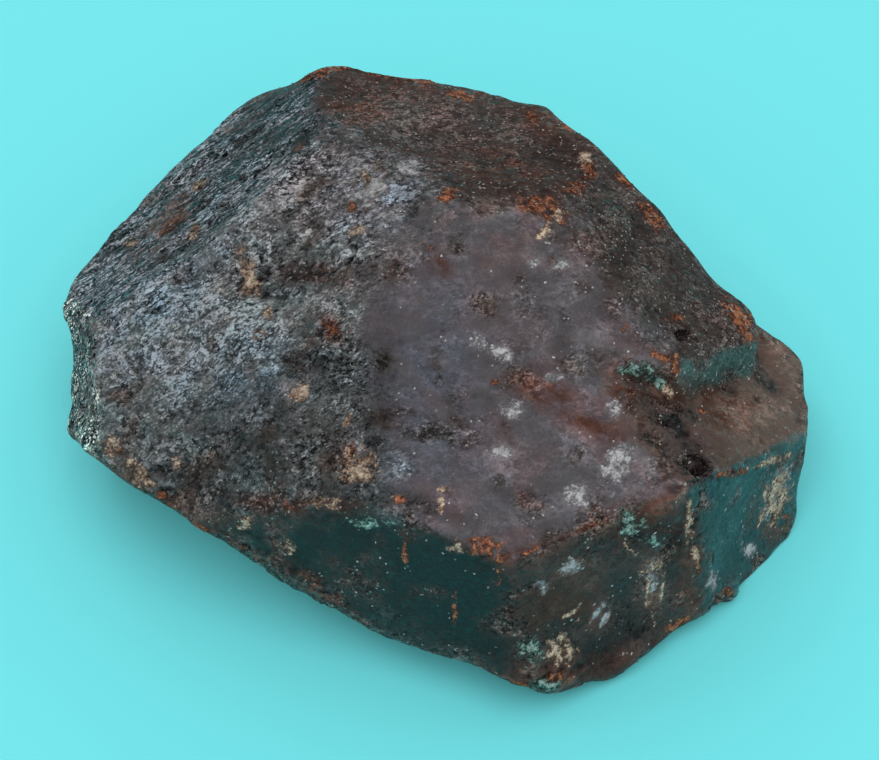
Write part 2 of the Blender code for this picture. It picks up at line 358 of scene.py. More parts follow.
FINISH_PARTS = ("cover", "grain", "lines", "flecks_and_glints", "litter", "matt", "blotchy")
colours = np.outer(unseen, linear(UNSEEN_FINISH[0])[:3])
columns = {part: unseen * UNSEEN_FINISH[i] for i, part in enumerate(FINISH_PARTS, 1)}
for name, share in shares.items():
    finish = FINISH.get(name, UNSEEN_FINISH)
    colours += np.outer(share, linear(finish[0])[:3])
    for i, part in enumerate(FINISH_PARTS, 1):
        columns[part] = columns[part] + share * finish[i]
for part, values in columns.items():
    store(skin_mesh, part, values)
print("average cover of film:", round(float(columns["cover"].mean()), 2))

# %% [markdown]
# ## Stains
# Iron-rich water has left rust, clay sits in the hollows, and mica and chlorite cling in pale and
# green crusts. The green on steep faces is partly painted reflection of the table. In some places
# the stone has broken into crags, or the bare dark garnet shows. The film itself is worn thin and
# dark here, thick and pale there, and tinted brown, violet or blue. Some marks paint light and
# shade: highlights on the upper left and small top faces, and shade in the right corner's fold
# and at the foot.
# Noise alone would put all that anywhere, so each mark is listed by name: the picture point where
# the camera sees its middle, its half width and half height in picture points, and its turn in
# degrees. A mark is soft here. The material breaks its edge up with noise, so it ends up ragged
# like the real thing.

# %% Stains by kind
# Orange-brown iron oxide, mostly along ridges and rims.
RUST = {
    "top_corner": (447, 196, 10, 8, 0),
    "rim_peak": (322, 75, 34, 5, -14),
    "rim_peak_right": (395, 80, 45, 5, 9),
    "rim_orange": (464, 98, 15, 5, 3),
    "rim_spot": (532, 118, 10, 7, 30),
    "rim_far_right": (571, 128, 14, 4, 38),
    "hook_top": (588, 170, 6, 12, -20),
    "hook_bottom": (576, 187, 13, 6, -10),
    "back_right_patch": (625, 178, 11, 6, 45),
    "back_right_red": (652, 216, 20, 8, 52),
    "terrace_big": (740, 320, 30, 9, 58),
    "terrace_tip": (752, 338, 8, 6, 30),
    "above_hole": (675, 318, 11, 5, 0),
    "riser_corner": (676, 366, 5, 12, 10),
    "riser_left": (660, 357, 16, 4, 15),
    "terrace_dots": (704, 412, 5, 2, 20),
    "rim_of_corner": (733, 473, 18, 4, -12),
    "corner_side_dot": (786, 516, 4, 4, 0),
    "corner_edge": (697, 560, 4, 13, -10),
    "corner_foot": (728, 592, 6, 4, 0),
    "front_vertex": (484, 546, 17, 11, 10),
    "front_vertex_right": (501, 559, 9, 5, 0),
    "front_edge_line": (528, 553, 10, 2, -22),
    "left_streak": (405, 553, 3, 14, 0),
    "left_long_streak": (455, 612, 2.5, 20, 0),
    "vertex_streak": (499, 575, 2.5, 14, 0),
    "scar_left": (352, 452, 6, 10, 20),
    "brow_spot": (319, 502, 8, 7, 0),
    "hollow_dots": (332, 329, 6, 9, -25),
    "edge_orange": (544, 208, 24, 13, 18),
    "red_dot": (431, 247, 4, 5, 0),
    "small_top_dot": (352, 208, 5, 6, 0),
    "ridge_dot": (300, 145, 4, 6, 40),
    "left_band_top": (116, 450, 14, 6, 35),
    "left_band_middle": (138, 473, 20, 8, 42),
    "left_band_low": (163, 497, 14, 6, 40),
    "left_band_tail": (205, 533, 40, 4, 36),
    "right_of_middle": (624, 329, 4, 8, 10),
    "middle_rust": (494, 382, 5, 4, 0),
    "middle_edge": (401, 500, 6, 5, 0),
    "foot_rust": (523, 674, 9, 7, 20),
    "foot_rust_right": (555, 664, 10, 4, -15),
    "low_right_edge": (678, 623, 14, 5, -38),
    "low_edge": (640, 652, 24, 2.5, -30),
}
# Pale tan crusts, veins and crumbs.
CLAY = {
    "left_flake": (248, 272, 9, 23, -12),
    "left_flake_top": (239, 258, 8, 9, -30),
    "scar": (358, 468, 18, 19, 0),
    "brow": (318, 502, 11, 8, 0),
    "brow_right": (335, 506, 5, 8, 0),
    "brow_high": (348, 420, 4, 9, 20),
    "under_scar": (300, 392, 11, 9, -30),
    "low_left": (176, 462, 6, 10, 0),
    "band_crumb": (112, 447, 9, 11, 0),
    "band_crumb_mid": (138, 473, 18, 10, 42),
    "band_crumb_low": (148, 484, 12, 6, 40),
    "t_mark": (445, 489, 9, 4, 0),
    "t_stem": (441, 504, 3, 11, 0),
    "hook": (585, 158, 7, 6, 0),
    "edge_white": (557, 213, 7, 7, 0),
    "edge_streak": (543, 231, 4, 11, 40),
    "small_top_crumb": (366, 179, 5, 9, 0),
    "small_top_low": (359, 231, 8, 5, -15),
    "ridge_streak": (199, 186, 4, 8, 35),
    "ridge_streak_low": (194, 233, 4, 12, 38),
    "ridge_streak_far": (131, 244, 8, 4, -10),
    "side_vein_top": (630, 549, 10, 2.2, 40),
    "side_vein": (658, 567, 9, 4, -25),
    "side_vein_cross": (646, 571, 12, 1.8, 8),
    "side_vein_low": (648, 588, 1.7, 20, 8),
    "side_vein_right": (662, 591, 1.7, 18, 2),
    "side_vein_branch": (655, 603, 9, 1.6, 30),
    "side_vein_foot": (650, 612, 1.5, 10, -20),
    "side_streak": (571, 613, 12, 2.6, -32),
    "side_streak_low": (578, 620, 8, 1.8, -40),
    "foot_crumb": (563, 645, 15, 10, 0),
    "corner_crust": (775, 498, 12, 25, 12),
    "corner_crust_line": (767, 506, 2, 20, 25),
    "corner_rim": (768, 462, 26, 3.5, -18),
    "corner_edge_tan": (689, 522, 4.5, 24, -4),
    "corner_edge_fleck": (696, 558, 4, 11, -10),
    "left_face_fleck": (244, 524, 8, 8, 30),
    "left_face_fleck_low": (290, 547, 6, 6, 0),
    "riser_foot": (667, 391, 5, 6, 0),
    "vertex_yellow": (457, 549, 9, 5, 0),
    "hollow_crumb": (269, 315, 6, 9, 0),
    "hollow_crumb_low": (260, 334, 8, 6, 0),
}
# Silvery white plates, grown or pressed into the face. On the small top face they are partly
# painted glints and highlights.
MICA = {
    "front_crust": (574, 492, 13, 9, -20),
    "front_crust_foot": (584, 502, 8, 5, 30),
    "front_crust_right": (613, 470, 12, 10, -45),
    "front_crust_top": (622, 455, 14, 9, -30),
    "front_crust_up": (612, 407, 9, 10, 0),
    "front_crust_mid": (513, 411, 11, 9, 0),
    "front_crust_small": (557, 377, 10, 5, 0),
    "front_crust_low": (500, 452, 11, 6, 0),
    "middle_white": (477, 342, 9, 8, 20),
    "middle_white_right": (503, 354, 14, 8, 20),
    "edge_white": (535, 262, 6, 5, 0),
    "edge_white_right": (562, 263, 8, 6, 0),
    "speck": (358, 334, 3.5, 4, 0),
    # These small top marks are partly painted glints and highlight, laid as mica.
    "small_top_bright": (378, 186, 14, 12, 20),
    "small_top_right": (408, 168, 14, 10, 0),
    "small_top_left": (355, 166, 8, 6, 30),
    "small_top_edge": (392, 212, 12, 10, -30),
    "swirl": (267, 205, 14, 9, -15),
    "end_flake": (88, 328, 6, 20, -25),
    "end_flake_low": (94, 350, 4, 14, 15),
    "end_flake_foot": (87, 400, 5, 16, 15),
    "end_dot": (115, 431, 8, 3, -12),
    "scar_blue": (358, 450, 9, 14, -10),
    "scar_side": (290, 388, 9, 6, 0),
    "foot_pale": (599, 611, 2.2, 14, 40),
    "foot_pale_right": (606, 617, 3, 9, 30),
    "side_pale": (541, 586, 7, 6, 0),
    "corner_foot_pale": (713, 580, 5, 9, 20),
    "corner_small_crust": (748, 549, 7, 7, 0),
    "rim_dot": (612, 495, 4, 3, 0),
    "corner_crust": (780, 488, 7, 16, 20),
    "corner_crust_low": (766, 512, 5, 9, 20),
    "side_veins": (652, 580, 5, 14, 0),
    "side_fuzzy": (572, 566, 9, 7, -40),
    # Painted glints, laid as mica.
    "small_top_glints": (365, 200, 16, 14, 0),
}
# Grey-green crusts, which on the steep faces are partly painted reflection of the blue-green table.
CHLORITE_AND_TABLE_REFLECTION = {
    "side_green": (631, 521, 15, 13, 0),
    "side_green_low": (654, 541, 9, 6, 20),
    "riser_green": (640, 371, 20, 9, 10),
    "riser_green_right": (659, 384, 8, 8, 0),
    "foot_green": (530, 646, 13, 11, 0),
    "foot_green_low": (546, 673, 24, 9, 0),
    # Painted reflection of the table: the teal sheen on the left face's top and on the lip below it.
    "left_face_top_reflection": (364, 521, 26, 7, 8),
    "lip_green": (260, 570, 50, 9, 32),
    "lip_green_low": (330, 612, 30, 8, 30),
}
# Broken ground: these change the shape alone.
CRAGS = {
    "corner": (690, 458, 40, 18, 50),
    "corner_foot": (684, 482, 26, 14, 10),
    "corner_up": (668, 432, 26, 12, 30),
    "hole": (681, 334, 13, 8, 0),
    "riser_foot": (660, 385, 26, 9, 20),
    "riser_left": (640, 370, 26, 9, 8),
    "notch": (730, 590, 14, 10, 0),
    "foot": (545, 664, 34, 16, 0),
    "vertex": (487, 548, 16, 9, 0),
    "right_edge": (697, 540, 8, 50, -5),
    "rim": (742, 468, 50, 5, -14),
    "small_top": (395, 195, 22, 18, -30),
    "under_small_top": (330, 248, 60, 12, 8),
    "groove": (215, 212, 80, 9, -43),
    "scar": (360, 468, 14, 22, 0),
    "hollow": (330, 335, 14, 18, 0),
    "flake": (247, 268, 12, 22, -12),
    "brow": (322, 503, 20, 8, 0),
    "band": (150, 482, 50, 9, 40),
    "lip": (285, 574, 70, 12, 33),
    "end": (88, 400, 12, 40, 0),
    "hook": (584, 172, 14, 20, 0),
    "back_edge": (545, 215, 22, 12, 30),
    "top_corner": (447, 198, 16, 12, 0),
}
# Black, glossy garnet with no film. In the right corner's fold it is partly painted shade.
BARE = {
    # Bare stone and painted shade in the fold at the right corner.
    "corner_fold": (697, 458, 20, 8, 62),
    "corner_fold_foot": (686, 476, 8, 5, 15),
    "corner_fold_left": (682, 436, 12, 6, 50),
    "corner_fold_up": (676, 424, 12, 5, 30),
    "ridge_crack": (309, 138, 14, 2.5, -38),
    "hole": (682, 333, 9, 5, 0),
    "terrace_pit": (773, 390, 6, 5, 0),
    "terrace_pit_low": (754, 403, 5, 4, 0),
    "terrace_pit_left": (733, 392, 4, 3, 0),
    "front_dot": (377, 441, 4, 4, 0),
    "front_dot_left": (401, 341, 3, 4, 0),
}
# Film worn thin, so that the dark stone shows through. Some marks are painted shade instead.
THIN = {
    "left_dark": (325, 362, 24, 34, 20),
    "ridge_dark": (366, 410, 22, 90, 6),
    "left_dark_low": (310, 438, 34, 24, 0),
    "left_dark_foot": (214, 490, 44, 7, 24),
    "brow_dark": (290, 466, 44, 20, 8),
    "left_dark_spot_low": (212, 436, 14, 10, 0),
    "left_dark_spot_right": (292, 360, 12, 14, 20),
    "left_dark_spot_up": (262, 288, 10, 10, 0),
    "left_dark_middle": (266, 420, 26, 16, -20),
    "left_dark_patch": (255, 440, 20, 12, 0),
    "under_small_top": (308, 280, 40, 10, 5),
    "small_top_foot": (372, 264, 24, 9, -12),
    "small_top_side": (416, 216, 9, 15, 30),
    "growth_top": (278, 110, 50, 26, -38),
    "front_corner": (422, 218, 13, 18, 20),
    "front_dark": (563, 344, 9, 14, 0),
    "small_top_corner": (305, 167, 13, 10, -30),
    "scar_foot": (382, 502, 16, 7, 10),
    "front_low_edge": (432, 508, 44, 6, 22),
    "growth_edge": (302, 136, 20, 5, -40),
    "back_dark": (634, 236, 14, 40, 38),
    "back_band": (508, 190, 44, 7, 4),
    "terrace_top": (602, 214, 12, 14, 38),
    "back_spot_left": (352, 140, 22, 10, -10),
    "back_edge": (560, 150, 24, 16, 30),
    # These four marks are painted shade in the fold at the right corner, over thin film.
    "corner_fold_shade": (690, 444, 44, 20, 60),
    "corner_fold_shade_right": (712, 452, 22, 14, 30),
    "corner_fold_shade_up": (655, 425, 26, 20, 30),
    "terrace_left": (696, 424, 30, 13, 30),
    "side_top": (640, 540, 50, 14, -16),
    # Painted shade near the table, under the right side.
    "right_foot_shade": (640, 652, 40, 8, -32),
    "right_side_low": (610, 640, 50, 14, -20),
    "right_side_middle": (622, 580, 16, 26, 0),
    "right_side_top": (600, 545, 40, 9, -18),
    "right_side_left": (524, 600, 12, 40, 0),
    "right_side_foot": (560, 628, 24, 9, -20),
    "right_side_right": (672, 556, 8, 26, 0),
    "left_side": (440, 590, 70, 40, 10),
    "swirl_line": (290, 214, 22, 2.5, 15),
    "swirl_line_low": (318, 226, 24, 2.5, 28),
    "swirl_line_right": (345, 243, 22, 2.5, 18),
    "growth_crack": (205, 205, 60, 2.5, -44),
    "growth_crack_low": (150, 268, 50, 2.5, -44),
    "growth_crack_top": (280, 138, 26, 2.5, -40),
}
# Film grown thick and pale. The marks on the upper left face and the small top face are partly
# painted highlights, laid as pale film.
THICK = {
    # Partly a painted highlight: the bluish sheen on the upper left face.
    "left_painted_highlight": (152, 342, 40, 30, -35),
    "left_painted_highlight_top": (130, 316, 24, 12, -35),
    "left_pale": (243, 305, 20, 18, 0),
    "left_upper": (205, 300, 30, 18, -20),
    "left_middle": (232, 350, 34, 22, -30),
    "swirl": (268, 203, 22, 12, -15),
    "swirl_blue": (283, 182, 20, 16, 0),
    # Paler film that is partly a painted highlight.
    "small_top_painted_highlight": (378, 188, 20, 20, -30),
    "small_top_left": (290, 200, 22, 14, -10),
    "swirl_low": (316, 236, 20, 6, 12),
    "swirl_right": (304, 214, 12, 10, 0),
    "left_flake_side": (233, 262, 9, 16, 0),
    "growth_foot": (184, 222, 22, 11, -43),
    "left_edge": (104, 330, 15, 20, -10),
    "left_side_pale": (186, 388, 26, 14, 0),
    "left_low_pale": (196, 449, 18, 9, 10),
    "left_flake": (246, 266, 14, 18, -12),
    "front_right_edge": (645, 456, 10, 34, -15),
    "front_right_pale": (600, 334, 11, 10, 0),
    "growth_band": (172, 224, 70, 14, -43),
    "growth_band_high": (200, 150, 50, 9, -43),
    "growth_band_low": (116, 278, 36, 14, -42),
    "terrace_pale": (752, 412, 30, 14, -15),
    "front_pale": (577, 354, 10, 14, 0),
    "front_pale_middle": (584, 403, 12, 12, 0),
    "front_pale_low": (577, 443, 14, 14, 0),
    "front_pale_left": (530, 389, 16, 10, 0),
    "front_fuzzy": (501, 462, 20, 14, -30),
    "side_pale": (572, 566, 14, 12, -40),
    "side_pale_right": (594, 585, 10, 8, 0),
    "back_grey": (400, 122, 46, 16, 10),
    "front_low": (530, 512, 30, 8, -18),
    "terrace_left": (600, 235, 18, 44, 38),
    "side_vein": (648, 590, 12, 26, 0),
    "side_streaks": (600, 612, 16, 8, -40),
    "side_vein_top": (655, 560, 14, 10, 0),
    "corner_right": (775, 496, 16, 30, 8),
    "lip": (290, 575, 60, 8, 33),
}
# Film stained by rust.
BROWN = {
    "back_left": (352, 108, 26, 15, -10),
    "back_left_up": (384, 92, 16, 9, 5),
    "back_middle": (505, 170, 60, 18, 8),
    "back_right": (540, 120, 36, 14, 22),
    "rim": (420, 84, 60, 7, 8),
    "front_network": (545, 392, 30, 12, 8),
    "front_network_low": (592, 424, 30, 10, 24),
    "front_network_right": (626, 392, 16, 26, 20),
    "front_top_corner": (436, 266, 12, 9, 0),
    "corner_side": (676, 520, 22, 30, -10),
    "under_small_top": (325, 274, 40, 10, 0),
    "side_top": (652, 520, 36, 20, -12),
    "side_low": (552, 604, 30, 20, 0),
    "side_right": (684, 560, 12, 46, -6),
    "riser_foot": (640, 386, 34, 9, 30),
    "terrace_foot": (705, 398, 44, 12, 8),
    "terrace_spots": (727, 418, 22, 9, 20),
    "corner_low": (774, 520, 18, 30, 0),
    "front_edge_line": (575, 532, 70, 2, -20),
    "lip": (250, 556, 50, 7, 33),
    "lip_low": (320, 590, 36, 8, 33),
    "growth_band": (172, 224, 46, 9, -43),
    "brow_foot": (300, 505, 60, 9, 4),
    "foot": (560, 664, 50, 9, -8),
    "scar": (350, 462, 14, 20, 0),
    "hollow": (330, 330, 14, 16, 0),
}
# Film that lets the garnet's own red through.
VIOLET = {
    "front_right": (610, 410, 74, 60, 0),
    "front_network": (560, 400, 74, 36, 8),
    "front_edge": (540, 520, 70, 16, -20),
    "front_vertex": (455, 520, 50, 20, 20),
    "back_red": (385, 100, 50, 18, 6),
    "back_red_right": (560, 150, 50, 24, 25),
    "front_top_band": (500, 235, 70, 22, 5),
    "front_left_low": (520, 510, 90, 30, -18),
}
# Film with a cold grey-blue cast.
BLUE = {
    "front_middle": (425, 400, 48, 90, 5),
    # Partly a painted highlight: the bluish sheen on the upper left face.
    "left_painted_highlight": (150, 335, 60, 36, -35),
    "left_middle": (240, 380, 60, 40, 0),
    "small_top": (385, 185, 50, 36, -20),
    "growth_blue": (200, 270, 40, 12, -40),
    "corner_fold": (688, 446, 40, 17, 58),
}


# A mark is full out to about half its size, and fades to nothing at 1.8 times its size.
MARK_MIDDLE = 1.35
MARK_FADE = 0.75
SEEN_SHARPNESS = 12
SEEN_MARGIN = 0.6


def marks_on(points, facing, marks):
    """How strongly a kind of stain covers each point: 1 in a mark's middle, 0 well outside."""
    across, down = picture_points(points)
    strongest = np.zeros(len(points))
    for x, y, half_width, half_height, turn in marks.values():
        cosine, sine = math.cos(math.radians(turn)), math.sin(math.radians(turn))
        along = ((across - x) * cosine + (down - y) * sine) / half_width
        beside = ((down - y) * cosine - (across - x) * sine) / half_height
        strength = MARK_MIDDLE - MARK_FADE * np.hypot(along, beside)
        strongest = np.maximum(strongest, np.clip(strength, 0, 1))
    return strongest * facing


seen = np.clip(normals @ np.array(TO_CAMERA) * SEEN_SHARPNESS + SEEN_MARGIN, 0, 1)
STAINS = {"rust": RUST, "clay": CLAY, "mica": MICA, "chlorite_and_reflection": CHLORITE_AND_TABLE_REFLECTION, "bare": BARE,
          "crags": CRAGS, "thin": THIN, "thick": THICK, "brown": BROWN, "violet": VIOLET, "blue": BLUE}
for kind, marks in STAINS.items():
    store(skin_mesh, kind, marks_on(places, seen, marks))
colour_layer = skin_mesh.attributes.new("film", "FLOAT_COLOR", "POINT")
colour_layer.data.foreach_set("color", np.c_[colours, np.ones(len(colours))].astype(np.float32).ravel())
print({kind: len(marks) for kind, marks in STAINS.items()})

# %% [markdown]
# ## Relief by rule
# Smoothing comes first: the blur node averages each point with its neighbours, and the ridge
# attribute holds the ridges back. Then one small tree raises noise along the surface normal. It
# is used several times over with other sizes: scales on the left face, long growth lines on the
# face behind it, and granules on the back. The grain can be stretched along a direction.

# %% Smoothing tree
SMOOTH_ROUNDS = 7
RIDGE_HOLD = 0.9


def new_tree(name, sockets):
    """A Geometry Nodes tree, and its inputs: a mesh, the sockets listed, and a material."""
    tree = bpy.data.node_groups.new(name, "GeometryNodeTree")
    tree.interface.new_socket("Geometry", in_out="INPUT", socket_type="NodeSocketGeometry")
    tree.interface.new_socket("Geometry", in_out="OUTPUT", socket_type="NodeSocketGeometry")
    for socket, kind in {**sockets, "Material": "Material"}.items():
        tree.interface.new_socket(socket, in_out="INPUT", socket_type="NodeSocket" + kind)
    return tree, tree.nodes.new("NodeGroupInput").outputs


def push_out(tree, given, height):
    """Moves the points of the given mesh along their normals."""
    outward = add(tree, "GeometryNodeInputNormal")
    offset = add(tree, "ShaderNodeVectorMath", {0: outward, "Scale": height}, operation="SCALE")
    return add(tree, "GeometryNodeSetPosition", {"Geometry": given["Geometry"], "Offset": offset})


def close_tree(tree, given, geometry):
    """Ends a tree: makes every instance real, sets the material and puts the mesh out."""
    real = add(tree, "GeometryNodeRealizeInstances", {"Geometry": geometry})
    painted = add(tree, "GeometryNodeSetMaterial", {"Geometry": real, "Material": given["Material"]})
    add(tree, "NodeGroupOutput", {"Geometry": painted})


def use_tree(obj, tree, **values):
    """Adds the tree to an object and sets its inputs by identifier."""
    made = obj.modifiers.new(tree.name, "NODES")
    made.node_group = tree
    known = {item.name: item.identifier for item in tree.interface.items_tree if item.in_out == "INPUT"}
    for name, value in values.items():
        made[known[name]] = value


smoothing, given = new_tree("skin_smoothing", {"Rounds": "Int", "Hold": "Float"})
ridge = add(smoothing, "GeometryNodeInputNamedAttribute", {"Name": "ridge"}, data_type="FLOAT")
held = add(smoothing, "ShaderNodeMath", {0: ridge, 1: given["Hold"]}, operation="MULTIPLY")
free = add(smoothing, "ShaderNodeMath", {0: 1.0, 1: held}, operation="SUBTRACT")
place = add(smoothing, "GeometryNodeInputPosition")
blurred = add(smoothing, "GeometryNodeBlurAttribute", data_type="FLOAT_VECTOR",
              inputs={"Value": place, "Iterations": given["Rounds"], "Weight": free})
moved = add(smoothing, "GeometryNodeSetPosition", {"Geometry": given["Geometry"], "Position": blurred})
close_tree(smoothing, given, moved)

# %% Relief tree
relief, given = new_tree("grown_relief", {
    "Where": "String", "Turn": "Vector", "Size": "Vector", "Height": "Float", "Ridged": "Float",
    "Detail": "Float", "Seed": "Float"})
place = add(relief, "GeometryNodeInputPosition")
turned = add(relief, "ShaderNodeVectorRotate", rotation_type="EULER_XYZ", invert=True,
             inputs={"Vector": place, "Rotation": given["Turn"]})
scaled = add(relief, "ShaderNodeVectorMath", {0: turned, 1: given["Size"]}, operation="DIVIDE")
pattern = add(relief, "ShaderNodeTexNoise", noise_dimensions="4D", inputs={
    "Vector": scaled, "W": given["Seed"], "Scale": 1.0, "Detail": given["Detail"], "Roughness": 0.55})
centred = add(relief, "ShaderNodeMath", {0: pattern, 1: 0.5}, operation="SUBTRACT")
folded = add(relief, "ShaderNodeMath", {0: centred}, operation="ABSOLUTE")
crest = add(relief, "ShaderNodeMath", {0: folded, 1: -2.0, 2: 0.18}, operation="MULTIPLY_ADD")
shape = add(relief, "ShaderNodeMix", {0: given["Ridged"], 2: centred, 3: crest}, data_type="FLOAT")
where = add(relief, "GeometryNodeInputNamedAttribute", {"Name": given["Where"]}, data_type="FLOAT")
height = shape
for factor in (where, given["Height"]):
    height = add(relief, "ShaderNodeMath", {0: height, 1: factor}, operation="MULTIPLY")
close_tree(relief, given, push_out(relief, given, height))
print("smoothing tree:", len(smoothing.nodes), "nodes; relief tree:", len(relief.nodes), "nodes")

# %% [markdown]
# ## Where each kind of relief grows
# First a few broad swells, of about a millimetre at most, are laid on the points themselves, where
# the real faces are not quite flat. Then each relief is switched on by an attribute that holds how
# much of it a point gets. These fade out near the table, so that the crystal still lies flat. Three
# kinds of crust are raised where they were marked, and so are the crags.

# %% Relief masks and modifiers
FADE_ABOVE_GROUND = 0.6 * MM
CRUST_SIZE, CRUST_HEIGHT, CRUST_SEED = 0.7 * MM, 0.24 * MM, 40.0
CRAG_SIZE, CRAG_HEIGHT, CRAG_SEED = [1.3 * MM, 0.8 * MM, 0.9 * MM], 0.95 * MM, 50.0
SEED_STEP = 7.3

ground_fade = np.clip(places[:, 2] / FADE_ABOVE_GROUND, 0, 1)
RELIEFS = {
    # attribute: (strength on each face, line direction, size in mm, height in mm, ridged, detail)
    "scaly": ({"left_top": 1, "left_brow": 1.1, "left_end": 0.8, "front_left_lip": 0.9, "small_top": 0.8,
               "back_left_side": 0.7, "back_left_rim": 0.6, "right_end": 0.6},
              GROWTH_LINE, (2.2, 1.2, 1.2), 0.48, 0.4, 3.0),
    "fine_scaly": ({"left_top": 1, "left_brow": 1, "left_end": 1, "front_left_lip": 1, "small_top": 1,
                    "upper_riser_left": 1, "back_left_side": 0.8, "left_back": 0.5},
                   GROWTH_LINE, (1.1, 0.62, 0.62), 0.30, 0.7, 2.0),
    "lined": ({"left_back": 1, "left_end": 0.4, "back_left_rim": 0.7, "left_top": 0.35},
              GROWTH_LINE, (7.0, 0.85, 0.85), 0.24, 0.5, 2.0),
    "granular": ({"back_top": 1, "upper_terrace": 0.9, "back_side": 1, "back_right_rim": 1,
                  "left_back": 0.4, "front_right_side": 0.35, "corner_side": 0.3, "front_top": 0.35},
                 BACK_LINE, (1.2, 0.75, 0.75), 0.26, 0.4, 3.0),
    "rolling": ({"front_top": 1, "lower_terrace": 0.4, "front_left_side": 0.35, "front_right_side": 0.6,
                 "back_top": 1, "upper_terrace": 0.7, "corner_side": 0.5, "back_side": 1},
                BACK_LINE, (4.5, 3.2, 3.2), 0.50, 0.1, 1.5),
}


def turn_of(line):
    """Rotation that lays a pattern's long axis along a direction."""
    return tuple(line.to_track_quat("X", "Z").to_euler())


# Picture point, half width, half height and turn as for the stains, then the heading it swells
# towards and by how many mm.
SWELLS = {
    "foot_lump": (548, 680, 44, 20, 0, -90, 1.05),
    "foot_right": (642, 656, 26, 12, -25, -75, 0.6),
    "right_rim": (799, 372, 12, 50, -33, 20, 0.8),
    "left_corner": (70, 290, 14, 26, 0, 180, 0.5),
    "left_corner_low": (78, 440, 14, 16, 0, 200, 0.55),
    "left_back_rim": (166, 176, 36, 16, -45, 135, 0.55),
    "back_rim": (380, 76, 66, 14, 8, 90, 0.45),
    "back_right_rim": (700, 256, 30, 12, 50, 40, -0.4),
}
SWELL_SPREAD = 1.3
swollen = places.copy()
for x, y, half_width, half_height, turn, heading, push in SWELLS.values():
    mark = (x, y, half_width * SWELL_SPREAD, half_height * SWELL_SPREAD, turn)
    mask = marks_on(places, 1.0, {"swell": mark})
    mask = mask * mask * (3 - 2 * mask)
    swollen += np.outer(mask, direction(heading, 0)) * push * MM
skin_mesh.vertices.foreach_set("co", swollen.astype(np.float32).ravel())
skin_mesh.update()

use_tree(skin, smoothing, Rounds=SMOOTH_ROUNDS, Hold=RIDGE_HOLD)
for seed, (name, (strengths, line, size, height, ridged, detail)) in enumerate(RELIEFS.items()):
    amount = sum(shares[face] * strength for face, strength in strengths.items())
    store(skin_mesh, name, amount * ground_fade)
    use_tree(skin, relief, Where=name, Turn=turn_of(line), Size=[part * MM for part in size],
             Height=height * MM, Ridged=ridged, Detail=detail, Seed=seed * SEED_STEP)
for seed, kind in enumerate(("clay", "mica", "chlorite_and_reflection")):
    use_tree(skin, relief, Where=kind, Turn=(0, 0, 0), Size=[CRUST_SIZE] * 3, Height=CRUST_HEIGHT,
             Ridged=0.8, Detail=2.0, Seed=CRUST_SEED + seed)
use_tree(skin, relief, Where="crags", Turn=(0.4, 0.2, 0.7), Size=CRAG_SIZE, Height=CRAG_HEIGHT,
         Ridged=0.6, Detail=3.0, Seed=CRAG_SEED)
print(len(skin.modifiers), "passes over the skin")

# %% [markdown]
# ## Pits, and a map of hollows
# Small pits are where grains of another mineral have dropped out. A Voronoi pattern puts one
# point in every cell of space; only some cells keep theirs, and the surface sinks near it. A last
# tree compares the skin with a blurred copy of itself and stores how far each point lies in a
# hollow. The material paints shade into the hollows and light onto the crests, and rust collects
# in the broad hollows.

# %% Pit tree and hollow tree
pits, given = new_tree("small_pits", {
    "Where": "String", "Spacing": "Float", "Reach": "Float", "Depth": "Float", "Share": "Float"})
place = add(pits, "GeometryNodeInputPosition")
scale = add(pits, "ShaderNodeMath", {0: 1.0, 1: given["Spacing"]}, operation="DIVIDE")
cells = add(pits, "ShaderNodeTexVoronoi", {"Vector": place, "Scale": scale})
luck = add(pits, "FunctionNodeSeparateColor", {0: cells.outputs["Color"]})
chosen = add(pits, "ShaderNodeMath", {0: luck, 1: given["Share"]}, operation="LESS_THAN")
near = add(pits, "ShaderNodeMapRange", interpolation_type="SMOOTHSTEP", inputs={
    "Value": cells.outputs["Distance"], "From Min": given["Reach"], "From Max": 0.0})
where = add(pits, "GeometryNodeInputNamedAttribute", {"Name": given["Where"]}, data_type="FLOAT")
inward = near
for factor in (chosen, where, given["Depth"], -1.0):
    inward = add(pits, "ShaderNodeMath", {0: inward, 1: factor}, operation="MULTIPLY")
close_tree(pits, given, push_out(pits, given, inward))

hollows, given = new_tree("hollow_map", {"Rounds": "Int", "Name": "String", "Depth": "Float"})
place = add(hollows, "GeometryNodeInputPosition")
blurred = add(hollows, "GeometryNodeBlurAttribute", data_type="FLOAT_VECTOR",
              inputs={"Value": place, "Iterations": given["Rounds"]})
away = add(hollows, "ShaderNodeVectorMath", {0: blurred, 1: place}, operation="SUBTRACT")
outward = add(hollows, "GeometryNodeInputNormal")
depth = add(hollows, "ShaderNodeVectorMath", {0: away, 1: outward}, operation="DOT_PRODUCT")
share = add(hollows, "ShaderNodeMath", {0: depth.outputs["Value"], 1: given["Depth"]}, operation="DIVIDE")
stored = add(hollows, "GeometryNodeStoreNamedAttribute", data_type="FLOAT", domain="POINT", inputs={
    "Geometry": given["Geometry"], "Name": given["Name"], "Value": share})
close_tree(hollows, given, stored)
print("pit tree:", len(pits.nodes), "nodes; hollow tree:", len(hollows.nodes), "nodes")

# %% Make the skin a plain mesh
PITTED = {"lower_terrace": 1, "upper_terrace": 0.6, "front_top": 0.15, "back_top": 0.6, "left_top": 0.5,
          "small_top": 0.6, "back_side": 0.8, "right_end": 0.8, "front_right_side": 0.4}

PIT_SPACING, PIT_DEPTH = 1.7 * MM, 0.22 * MM
# attribute: (rounds of blurring, the depth that counts as one)
HOLLOWS = {"hollow": (5, 0.03 * MM), "broad_hollow": (60, 0.25 * MM)}

